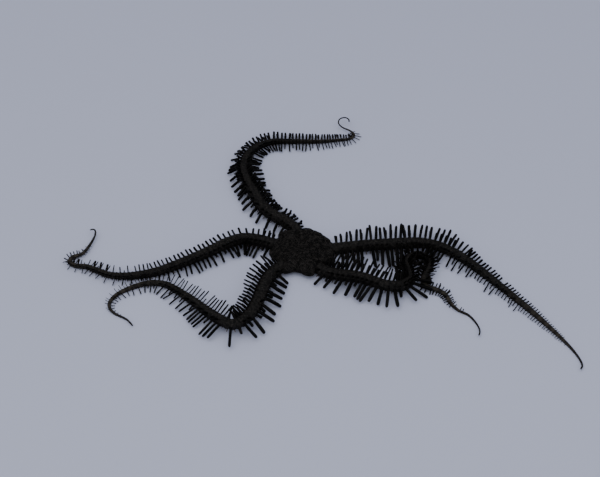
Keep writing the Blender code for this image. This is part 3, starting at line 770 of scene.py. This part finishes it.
class Crowd:  # remembers where spines stand, to keep new ones clear of them
    def __init__(self):
        self.cells = {}

    def key(self, point):
        return tuple(int(math.floor(c / spineSettings["cell"])) for c in point)

    def near(self, point, half, touch):
        a, b, c = self.key(point)
        for i in (a - 1, a, a + 1):
            for j in (b - 1, b, b + 1):
                for k in (c - 1, c, c + 1):
                    for other, otherHalf in self.cells.get((i, j, k), ()):
                        dx, dy, dz = point[0] - other[0], point[1] - other[1], point[2] - other[2]
                        reach = (half + otherHalf) * touch
                        if dx * dx + dy * dy + dz * dz < reach * reach:
                            return True
        return False

    def add(self, points, half):
        for point in points:
            self.cells.setdefault(self.key(point), []).append((tuple(point), half))


crowd = Crowd()
Rod = namedtuple("Rod", "start direction bow length thickness share tone arc turn")


def growSpines(arm, dice):  # one upright fan of spines on each side of a segment
    s = spineSettings
    rods = []
    for number in range(len(arm.bounds) - 1):
        for side in (1, -1):
            place = s["place"] + dice.uniform(-s["placeSpread"], s["placeSpread"])
            arc, i, share = arm.segmentPlace(number, place)
            if arc < arm.arc[arm.root] + s["firstFromMargin"] or share > s["lastShare"]:
                continue
            traits = sideTraits[arm.name, side]
            isTurn = number % 2 == (0 if side > 0 else 1)
            isFull = dice.random() < along(traits["turn" if isTurn else "full"], share)
            lean = s["lean"] + along(traits["lean"], share) + dice.uniform(-s["leanSpread"], s["leanSpread"])
            for row, facts in spineRows.items():
                if share > facts["last"]:
                    continue
                isSure = row == "middle" and isFull
                if not isSure and dice.random() > along(traits[row], share):
                    continue
                rod = placeSpine(arm, dice, i, side, lean, row, isFull)
                if rod:
                    rods.append(rod)
    return rods


def spineSize(row, traits, share, isFull):
    facts = spineRows[row]
    if "length" in facts:
        return float(along(facts["length"], share)), float(along(facts["girth"], share))
    length = float(along(longSpine, share) * along(traits["reach"], share)) * facts["share"]
    thickness = float(along(longGirth, share) * along(traits["girth"], share)) * facts["shareGirth"]
    if row == "middle" and not isFull:
        length *= traits["short"]
        thickness *= spineSettings["shortGirth"]
    return length, thickness


def spinePath(root, direction, bow, length):
    t = np.linspace(*spineSettings["checked"])[:, None]
    return root + direction * length * t + bow * length * t * t


def isClear(path, half):  # of the disc, the arms and the other spines
    s = spineSettings
    high = path[:, 2]
    edge = marginRadius(np.arctan2(path[:, 1], path[:, 0]))
    overDisc = np.hypot(path[:, 0], path[:, 1]) < edge + s["discClear"]
    if (overDisc & (high > s["discLow"]) & (high < discSettings["height"] + s["discClear"])).any():
        return False
    if any(away < core.half[k] + half + s["coreClear"] for k, away in map(core.nearest, path[2:])):
        return False
    return not any(crowd.near(point, half, s["touch"]) for point in path)


def placeSpine(arm, dice, i, side, lean, row, isFull):  # tries ways to stand until one is clear
    s = spineSettings
    facts = spineRows[row]
    turn = math.pi - side * facts["angle"]
    across, rise = sectionPoint(np.array(turn))
    offLeft = arm.left[i] * abs(float(across)) * side * arm.width[i] * s["rootDepth"]
    root = arm.under[i] + offLeft + arm.up[i] * float(rise) * arm.height[i] * s["rootDepth"]
    share = float(arm.share[i])
    traits = sideTraits[arm.name, side]
    length, thickness = spineSize(row, traits, share, isFull)
    length *= dice.uniform(*s["lengthSpread"])
    thickness *= dice.uniform(*s["girthSpread"])
    tilt = facts["rise"] + dice.uniform(-s["riseSpread"], s["riseSpread"])
    if row == "middle":
        tilt += traits["lift"] or 0.0
    isDrooping = row == "middle" and traits["lift"] is None
    bowAcross = dice.uniform(-s["bowSpread"], s["bowSpread"])
    bowUp = dice.uniform(-s["bowSpread"], s["bowSpread"])
    tone = dice.random()
    half = thickness / 2
    sunk = min(s["sunk"], arm.width[i] * s["sunkShare"])
    for leanBy, riseBy, lengthBy in spineTries:
        heading = math.radians(lean + leanBy)
        flat = arm.left[i] * side * math.cos(heading) + arm.tangent[i] * math.sin(heading)
        flat[2] = 0
        flat /= np.linalg.norm(flat)
        reach = length * lengthBy
        floorSine = max((half + s["floorGap"] - root[2]) / reach, -s["steepestDroop"])
        floorTilt = math.asin(min(floorSine, s["steepestRise"]))
        droop = s["droopShare"] * min(floorTilt, 0.0) if isDrooping else 0.0
        steep = max(math.radians(tilt + riseBy) + droop, floorTilt)
        direction = flat * math.cos(steep) + up * math.sin(steep)
        bow = arm.tangent[i] * bowAcross + up * bowUp
        start = root - direction * sunk
        path = spinePath(start, direction, bow, reach + sunk)
        if path[:, 2].min() < half + s["floorGap"] * 0.5:
            bow = bow + up * (half + s["floorGap"] - path[:, 2].min()) / (reach + sunk)
            path = spinePath(start, direction, bow, reach + sunk)
        if isClear(path, half):
            crowd.add(path, half)
            return Rod(start, direction, bow, reach + sunk, thickness, share, tone, arm.arc[i], turn)
    return None


def spokes(side, over, turn):
    return side[:, None] * np.cos(turn)[None, :, None] + over[:, None] * np.sin(turn)[None, :, None]


def ringBodies(name, rings, tips, isClockwise):  # closed bodies, each made of rings of points and a tip
    count, rows, sides = rings.shape[:3]
    points = np.concatenate([rings.reshape(count, -1, 3), tips[:, None]], axis=1)
    first = (np.arange(count) * points.shape[1])[:, None, None]
    last = (rows - 1) * sides
    caps = [[last + k, last + (k + 1) % sides, rows * sides] for k in range(sides)]
    faces = []
    for group in (np.array(gridFaces(rows, sides)), np.array(caps), np.arange(sides)[None, ::-1]):
        if isClockwise:
            group = group[:, ::-1]
        faces += (group[None] + first).reshape(-1, group.shape[1]).tolist()
    return solid(name, points.reshape(-1, 3), faces)


def layPatches(piece, u, v, offU, offV):  # a small patch on the flat layout for each body
    corners = readAll(piece.data.loops, "vertex_index")
    placeU = (u[:, None] + layout["patch"] * offU[None]).ravel()
    placeV = (v[:, None] + layout["patch"] * offV[None]).ravel()
    setLayout(piece, placeU[corners], placeV[corners])


rodSpread = (0.95, 1.05)  # unevenness of a rod's thickness along it


def rodMesh(name, arm, rods, s):
    rods = Rod(*map(np.array, zip(*rods)))
    count, rows, sides = len(rods.length), len(s["profile"]), s["sides"]
    rng = np.random.default_rng(s["meshSeed"] + arm.number)
    side = unit(np.cross(rods.direction, up))
    t, girth = np.array(s["profile"]).T
    girth = girth[None] * rng.uniform(*rodSpread, (count, rows))
    turn = allRound(sides)
    middle = rods.start[:, None] + rods.direction[:, None] * (rods.length[:, None] * t[None])[..., None]
    middle = middle + rods.bow[:, None] * (rods.length[:, None] * t[None] ** 2)[..., None]
    spoke = spokes(side, np.cross(side, rods.direction), turn)
    rings = middle[:, :, None] + spoke[:, None] * ((rods.thickness / 2)[:, None] * girth)[..., None, None]
    tips = rods.start + (rods.direction + rods.bow) * rods.length[:, None]
    made = ringBodies(name, rings, tips, True)
    alongRod = np.append(np.repeat(t, sides), 1.0)
    around = np.append(np.tile(turn / (2 * math.pi), rows), 0.5)
    setAttribute(made, "along", np.tile(alongRod, count))
    setAttribute(made, "share", np.repeat(rods.share, len(alongRod)))
    setAttribute(made, "tone", np.repeat(rods.tone, len(alongRod)))
    turnShare = np.mod(rods.turn, 2 * math.pi) / (2 * math.pi)
    u, v = armPlace(arm.number, rods.arc / arm.arc[-1], turnShare)
    layPatches(made, u, v, around - 0.5, alongRod - 0.5)
    return made


dice = random.Random(spineSettings["seed"])
spines = {}
spineTotal = 0
for arm in arms:
    rods = growSpines(arm, dice)
    spineTotal += len(rods)
    spines[arm.name] = rodMesh("spines_" + arm.name, arm, rods, spineSettings)
print("spines made:", spineTotal)


granuleSettings = {
    "seed": 5,
    "spacing": 0.42,
    "radius": (0.16, 0.22),
    "height": 0.17,
    "profile": [(1.0, -0.3), (0.9, 0.45), (0.55, 0.85)],  # reach and rise of a grain's rings
    "sides": 7,
    "reach": 0.99,
    "turnSpread": 0.007,
    "shareSpread": 0.005,
    "lastShare": 0.9995,
    "samples": 400,
    "slopeStep": 0.01,  # steps of share and of angle from which the slope under a grain is found
    "slopeRoom": 0.02,
    "lastSlope": 0.999,
}


def growGranules():  # fine rounded grains over the disc's back, spread like the seeds of a sunflower
    s = granuleSettings
    rng = np.random.default_rng(s["seed"])
    share = np.sin(np.linspace(0, 1, s["samples"]) * math.pi / 2)  # from the back's middle to its margin
    high = discHeight(share, 0.0) / discSettings["radius"]
    path = np.hypot(np.diff(share), np.diff(high))
    area = np.concatenate([[0], np.cumsum(path * (share[1:] + share[:-1]) / 2)])
    count = int(2 * math.pi * area[-1] * discSettings["radius"] ** 2 / s["spacing"] ** 2)
    k = np.arange(count) + 0.5
    angle = np.mod(k * math.pi * (3 - math.sqrt(5)), 2 * math.pi)
    angle = angle + rng.uniform(-s["turnSpread"], s["turnSpread"], count)
    share = np.interp(k / count * area[-1] * s["reach"], area, share)
    share = share + rng.uniform(-s["shareSpread"], s["shareSpread"], count) * (1 - share)
    share = np.clip(share, 0, s["lastShare"])
    margin = marginRadius(angle)
    step = s["slopeStep"]
    base = discPoint(share, angle, margin)
    outer = np.clip(share + step * (1 + s["slopeRoom"] - share), 0, 1)
    inner = np.clip(share - step, 0, s["lastSlope"])
    byShare = discPoint(outer, angle, margin) - discPoint(inner, angle, margin)
    byAngle = discPoint(share, angle + step, margin) - discPoint(share, angle - step, margin)
    normal = unit(np.cross(byShare, byAngle))
    side = unit(byAngle)
    size = rng.uniform(*s["radius"], count)
    turn = allRound(s["sides"])
    spoke = spokes(side, np.cross(normal, side), turn)
    rings = []
    for reach, rise in s["profile"]:
        lifted = base[:, None] + normal[:, None] * s["height"] * rise
        rings.append(lifted + spoke * (size * reach)[:, None, None])
    made = ringBodies("disc_granules", np.stack(rings, axis=1), base + normal * s["height"], False)
    offU = np.append(np.tile(np.cos(turn), len(rings)), 0.0) / 2
    offV = np.append(np.tile(np.sin(turn), len(rings)), 0.0) / 2
    setAttribute(made, "tone", np.repeat(rng.random(count), len(offU)))
    u, v = discPlace(base[:, 0], base[:, 1], True)
    layPatches(made, u, v, offU, offV)
    return made, count


granules, granuleCount = growGranules()
print("granules made:", granuleCount)


mouthSettings = {
    "low": 0.2,
    "high": 2.3,
    "jawReach": (0.7, 4.1),
    "jawHalfAngle": 27.0,
    "jawBodies": 4,
    "jawInset": (0.5, 0.9),  # from the jaw's inner and outer end to the middles of its end bodies
    "jawBodyLength": 0.95,
    "jawBodyShare": 0.85,  # their half width, against the jaw's
    "jawGrid": (12, 8),  # sides and rings
    "teeth": 5,
    "toothSize": (0.5, 0.16, 0.15),
    "toothInset": 0.15,
    "toothLow": 0.25,
    "toothStep": 0.4,
    "papillaSize": (0.42, 0.2, 0.2),
    "papillaLow": 0.2,
    "papillaStep": 0.6,
    "shieldSize": (1.4, 1.12, 0.35),
    "shieldPlace": 7.2,
    "shieldSunk": 0.05,
    "shieldGrid": (20, 8),
}


def ellipsoid(centre, axes, sizes, sides=8, rings=6):  # points and faces of a rounded body
    tilt = math.pi * np.arange(1, rings)[:, None] / rings
    turn = 2 * math.pi * np.arange(sides)[None] / sides
    local = polar(np.sin(tilt), turn, np.cos(tilt) + 0 * turn).reshape(-1, 3)
    local = np.vstack([local, (0, 0, 1), (0, 0, -1)])
    points = centre + (local * np.array(sizes)) @ np.array(axes)
    faces = gridFaces(rings - 1, sides)
    end = (rings - 2) * sides
    for k in range(sides):
        after = (k + 1) % sides
        faces += [[k, len(points) - 2, after], [end + k, end + after, len(points) - 1]]
    return points, faces


def joinBodies(name, bodies):
    points, faces = [], []
    for bodyPoints, bodyFaces in bodies:
        start = len(points)
        points += list(bodyPoints)
        faces += [[start + k for k in face] for face in bodyFaces]
    return solid(name, points, faces)


def buildMouth():  # five jaws with their teeth and mouth shields, seen from below
    s = mouthSettings
    bodies = []
    middle = (s["low"] + s["high"]) / 2
    tall = (s["high"] - s["low"]) / 2
    near, far = s["jawReach"]
    spread = math.tan(math.radians(s["jawHalfAngle"]))
    ways = np.sort(np.mod(exits, 2 * math.pi))
    ways = ways + np.mod(np.roll(ways, -1) - ways, 2 * math.pi) / 2  # a jaw stands midway between two arms
    for way in ways:
        out = np.array([math.cos(way), math.sin(way), 0.0])
        across = np.cross(up, out)
        axes = (out, across, up)
        for reach in np.linspace(near + s["jawInset"][0], far - s["jawInset"][1], s["jawBodies"]):
            size = (s["jawBodyLength"], reach * spread * s["jawBodyShare"], tall)
            bodies.append(ellipsoid(out * reach + up * middle, axes, size, *s["jawGrid"]))
        for n in range(s["teeth"]):  # a row of teeth at the jaw's inner end, and papillae along both edges
            rise = s["low"] + s["toothLow"] + n * s["toothStep"]
            bodies.append(ellipsoid(out * (near + s["toothInset"]) + up * rise, axes, s["toothSize"]))
            reach = near + (n + 1) * s["papillaStep"]
            for side in (-1, 1):
                place = out * reach + across * side * reach * spread + up * (s["low"] + s["papillaLow"])
                bodies.append(ellipsoid(place, (across * side, out, up), s["papillaSize"]))
        shield = out * s["shieldPlace"] + up * (discSettings["underside"] - s["shieldSunk"])
        bodies.append(ellipsoid(shield, axes, s["shieldSize"], *s["shieldGrid"]))
    return joinBodies("mouth", bodies)


mouth = buildMouth()
print("mouth made")


footSettings = {
    "seed": 3,
    "length": 0.34,  # shares of the arm's width
    "thickness": 0.085,
    "lengthSpread": (0.7, 1.2),
    "leanSpread": 0.3,
    "place": 0.35,
    "fromBelly": 0.62,
    "inset": 0.9,
    "lift": 0.06,
    "steepestDrop": 0.5,
    "floorGap": 0.06,
    "endGap": 0.08,
    "mostBow": 0.1,
    "lastShare": 0.93,
    "profile": [(0.0, 0.9), (0.25, 1.0), (0.3, 0.86), (0.5, 0.98), (0.56, 0.82), (0.76, 0.94), (0.92, 0.7)],
    "sides": 6,
    "meshSeed": 40,
}


def growFeet(arm, dice):  # tube feet beside the belly plates
    s = footSettings
    rods = []
    for number in range(len(arm.bounds) - 1):
        arc, i, share = arm.segmentPlace(number, s["place"])
        if arc < arm.arc[arm.root] or share > s["lastShare"]:
            continue
        width = arm.width[i]
        half = width * s["thickness"] / 2
        for side in (1, -1):
            turn = s["fromBelly"] if side > 0 else 2 * math.pi - s["fromBelly"]
            across, rise = sectionPoint(np.array(turn))
            root = arm.under[i] + arm.left[i] * (abs(float(across)) * side * s["inset"]) * width
            root = root + arm.up[i] * (float(rise) + s["lift"]) * arm.height[i]
            root[2] = max(root[2], half + s["floorGap"])
            length = width * s["length"] * dice.uniform(*s["lengthSpread"])
            flat = arm.left[i] * side + arm.tangent[i] * dice.uniform(-s["leanSpread"], s["leanSpread"])
            drop = min(s["steepestDrop"], max(0.0, (root[2] - half - s["endGap"]) / length))
            direction = flat * math.sqrt(1 - drop * drop) - up * drop
            direction /= np.linalg.norm(direction)
            bow = up * dice.uniform(0.0, s["mostBow"])
            rods.append(Rod(root, direction, bow, length, 2 * half, share, dice.random(), arm.arc[i], turn))
    return rods


dice = random.Random(footSettings["seed"])
feet = {}
for arm in arms:
    feet[arm.name] = rodMesh("feet_" + arm.name, arm, growFeet(arm, dice), footSettings)
print("tube feet made")


class Signal:  # one output of a node; arithmetic on it adds Math nodes
    def __init__(self, finish, socket):
        self.finish = finish
        self.socket = socket

    def math(self, operation, *others):
        sockets = dict(enumerate((self,) + others))
        return self.finish.add("ShaderNodeMath", {"operation": operation}, sockets)

    def __add__(self, other):
        return self.math("ADD", other)

    def __sub__(self, other):
        return self.math("SUBTRACT", other)

    def __mul__(self, other):
        return self.math("MULTIPLY", other)

    __radd__ = __add__
    __rmul__ = __mul__


class Finish:  # a material and the nodes of its shader
    def __init__(self, name, **fixed):
        self.material = bpy.data.materials.new(name)
        self.material.use_nodes = True
        self.tree = self.material.node_tree
        self.shader = self.tree.nodes["Principled BSDF"]
        for socket, value in fixed.items():
            self.shader.inputs[socket.replace("_", " ")].default_value = value

    def add(self, kind, settings=None, sockets=None, output=0):
        node = self.tree.nodes.new(kind)
        for key, value in (settings or {}).items():
            setattr(node, key, value)
        for key, value in (sockets or {}).items():
            self.feed(node.inputs[key], value)
        return Signal(self, node.outputs[output])

    def feed(self, socket, value):
        if isinstance(value, Signal):
            self.tree.links.new(value.socket, socket)
        elif isinstance(value, tuple) and len(value) == 3 and socket.type == "RGBA":
            socket.default_value = (*value, 1.0)
        else:
            socket.default_value = value

    def stored(self, name):
        return self.add("ShaderNodeAttribute", {"attribute_name": name}, None, "Fac")

    def place(self):
        return self.add("ShaderNodeTexCoord", None, None, "Object")

    def noise(self, scale, detail):
        sockets = {"Vector": self.place(), "Scale": scale, "Detail": detail, "Roughness": 0.55}
        return self.add("ShaderNodeTexNoise", None, sockets, "Fac")

    def cells(self, scale):
        return self.add("ShaderNodeTexVoronoi", None, {"Vector": self.place(), "Scale": scale}, "Distance")

    def ranged(self, value, low, high, to=(0.0, 1.0)):
        sockets = {"Value": value, "From Min": low, "From Max": high, "To Min": to[0], "To Max": to[1]}
        return self.add("ShaderNodeMapRange", None, sockets)

    def mix(self, factor, first, second):
        return self.add("ShaderNodeMix", {"data_type": "RGBA"}, {0: factor, 6: first, 7: second}, 2)

    def relief(self, height, distance, strength, below=None):
        sockets = {"Height": height, "Distance": distance, "Strength": strength}
        if below is not None:
            sockets["Normal"] = below
        return self.add("ShaderNodeBump", None, sockets)

    def shade(self, **sockets):
        for socket, value in sockets.items():
            self.feed(self.shader.inputs[socket.replace("_", " ")], value)
        return self.material


skinColours = {
    "dark": (0.0015, 0.0014, 0.0015),
    "brown": (0.0145, 0.013, 0.0123),
    "seam": (0.04, 0.036, 0.033),
    "tip": (0.05, 0.042, 0.034),
}


def skinFinish():
    f = Finish("wet_skin", Specular_IOR_Level=0.07, Coat_Roughness=0.2)
    share = f.stored("share")
    seam = f.stored("seam")
    patches = f.noise(950.0, 4.0)
    speckle = f.noise(2000.0, 3.0)
    colour = f.mix(f.ranged(patches, 0.42, 0.6), skinColours["dark"], skinColours["brown"])
    colour = f.mix(f.ranged(speckle, 0.54, 0.68) * 0.75, colour, skinColours["seam"])
    colour = f.mix(seam * 0.3, colour, skinColours["dark"])
    tipward = f.ranged(share + 0.12 * (patches - 0.5), 0.6, 0.85) * f.ranged(share, 0.95, 0.82, (0.3, 1.0))
    band = f.stored("band")
    colour = f.mix(tipward * (0.25 + 0.6 * band), colour, skinColours["tip"])
    rough = f.ranged(patches, 0.3, 0.7, (0.5, 0.68)) + 0.08 * speckle
    grain = f.relief(f.cells(3400.0), 0.00008, 0.6)
    bumps = f.relief(speckle, 0.00022, 0.8, grain)
    coat = f.ranged(patches, 0.35, 0.7, (0.05, 0.0))
    return f.shade(Base_Color=colour, Roughness=rough, Coat_Weight=coat, Normal=bumps)


spineColours = {
    "dark": (0.0006, 0.0006, 0.0008),
    "brown": (0.0036, 0.003, 0.0029),
    "end": (0.004, 0.0034, 0.0031),
    "tip": (0.013, 0.0107, 0.0088),
}


def spineFinish():
    f = Finish("spine_skin", Specular_IOR_Level=0.06, Coat_Roughness=0.2)
    share = f.stored("share")
    rod = f.stored("along")
    tone = f.stored("tone")
    patches = f.noise(900.0, 4.0)
    colour = f.mix(f.ranged(tone + 0.5 * patches, 0.4, 1.3), spineColours["dark"], spineColours["brown"])
    colour = f.mix(f.ranged(rod, 0.75, 1.0) * 0.5, colour, spineColours["end"])
    colour = f.mix(f.ranged(share, 0.55, 0.95) * 0.7, colour, spineColours["tip"])
    rough = f.ranged(patches, 0.3, 0.7, (0.42, 0.6))
    bumps = f.relief(f.noise(5200.0, 3.0), 0.00005, 0.5)
    coat = f.ranged(tone, 0.0, 1.0, (0.0, 0.05))
    return f.shade(Base_Color=colour, Roughness=rough, Coat_Weight=coat, Normal=bumps)


discColours = {"dark": (0.0003, 0.0003, 0.0004), "pale": (0.034, 0.03, 0.028)}


def granuleFinish():
    f = Finish("disc_grain", Specular_IOR_Level=0.05, Coat_Roughness=0.2)
    tone = f.stored("tone")
    patches = f.noise(900.0, 3.0)
    colour = f.mix(f.ranged(0.6 * tone + 4.0 * patches, 2.1, 2.9), discColours["dark"], discColours["pale"])
    rough = f.ranged(patches, 0.3, 0.7, (0.35, 0.5))
    bumps = f.relief(f.noise(6000.0, 2.0), 0.00008, 0.4)
    return f.shade(Base_Color=colour, Roughness=rough, Coat_Weight=tone * 0.06, Normal=bumps)


mouthColours = {"dark": (0.035, 0.028, 0.024), "pale": (0.11, 0.088, 0.07)}


def mouthFinish():
    f = Finish("mouth_plates", Specular_IOR_Level=0.45)
    patches = f.noise(700.0, 4.0)
    colour = f.mix(f.ranged(patches, 0.35, 0.7), mouthColours["dark"], mouthColours["pale"])
    rough = f.ranged(patches, 0.3, 0.7, (0.35, 0.55))
    bumps = f.relief(f.noise(4200.0, 3.0), 0.00012, 0.6)
    return f.shade(Base_Color=colour, Roughness=rough, Normal=bumps)


footColours = {"root": (0.03, 0.018, 0.014), "end": (0.1, 0.06, 0.045)}


def footFinish():
    f = Finish("tube_feet", Specular_IOR_Level=0.5)
    tone = f.stored("tone")
    rod = f.stored("along")
    colour = f.mix(f.ranged(rod + 0.4 * tone, 0.3, 1.3), footColours["root"], footColours["end"])
    rough = f.ranged(tone, 0.0, 1.0, (0.3, 0.45))
    bumps = f.relief(f.noise(6000.0, 2.0), 0.00008, 0.5)
    return f.shade(Base_Color=colour, Roughness=rough, Normal=bumps)


skin.data.materials.append(skinFinish())
spineMaterial = spineFinish()
footMaterial = footFinish()
granules.data.materials.append(granuleFinish())
mouth.data.materials.append(mouthFinish())
for piece in spines.values():
    piece.data.materials.append(spineMaterial)
for piece in feet.values():
    piece.data.materials.append(footMaterial)
print("finishes made")

solidNodes = sorted(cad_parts)
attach(skin, "root")
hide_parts(*[name for name in solidNodes if name != "jaws"])
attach(mouth, "root")
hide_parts("jaws")
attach(granules, "root")
for piece in [*spines.values(), *feet.values()]:
    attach(piece, "root")


studio = {
    "floorColour": (0.563, 0.589, 0.745),
    "floorSize": 4.0,  # sizes and places in the studio are in metres
    "floorDrop": 0.00003,
    "worldColour": (0.86, 0.9, 1.0),
    "worldStrength": 0.42,
    "lights": {  # place, target, size, power and colour
        "key": ((-0.35, -0.35, 0.85), (0, 0.01, 0), 1.2, 3.6, (1.0, 0.99, 0.97)),
        "fill": ((0.4, -0.6, 0.6), (0, 0, 0), 1.0, 1.9, (0.95, 0.97, 1.0)),
        "overhead": ((0.0, 0.1, 1.0), (0, 0, 0), 1.4, 2.0, (1.0, 1.0, 1.0)),
    },
    "lens": 85.0,
    "sensorWidth": 36.0,
    "cameraPlace": (-0.00125, -0.4341, 0.4001),
    "cameraTilt": 48.0,  # degrees from straight down
}


def floorFinish():
    f = Finish("pale_floor", Specular_IOR_Level=0.3)
    return f.shade(Base_Color=studio["floorColour"], Roughness=0.6)


def layFloor():
    half = studio["floorSize"] / 2
    corners = [(-half, -half), (half, -half), (half, half), (-half, half)]
    points = np.array([(x, y, -studio["floorDrop"]) for x, y in corners]) / mm
    made = meshObject("floor", points, [[0, 1, 2, 3]], smooth=False)
    made.data.materials.append(floorFinish())
    return made


def softLight(name, place, target, size, power, colour):
    lamp = bpy.data.lights.new(name, "AREA")
    lamp.shape = "RECTANGLE"
    lamp.size, lamp.size_y = size, size
    lamp.energy = power
    lamp.color = colour
    made = bpy.data.objects.new(name, lamp)
    made.location = place
    made.rotation_euler = (Vector(target) - Vector(place)).to_track_quat("-Z", "Y").to_euler()
    bpy.context.scene.collection.objects.link(made)


def lightWorld():
    world = bpy.data.worlds.new("studio")
    world.use_nodes = True
    background = world.node_tree.nodes["Background"]
    background.inputs["Color"].default_value = (*studio["worldColour"], 1.0)
    background.inputs["Strength"].default_value = studio["worldStrength"]
    bpy.context.scene.world = world


def placeCamera():
    camera = bpy.data.cameras.new("camera")
    camera.lens = studio["lens"]
    camera.sensor_width = studio["sensorWidth"]
    viewer = bpy.data.objects.new("camera", camera)
    viewer.location = studio["cameraPlace"]
    viewer.rotation_euler = (math.radians(studio["cameraTilt"]), 0.0, 0.0)
    bpy.context.scene.collection.objects.link(viewer)
    bpy.context.scene.camera = viewer


floor = layFloor()
lightWorld()
for name, facts in studio["lights"].items():
    softLight(name, *facts)
placeCamera()
print("studio made")

bpy.context.view_layer.update()
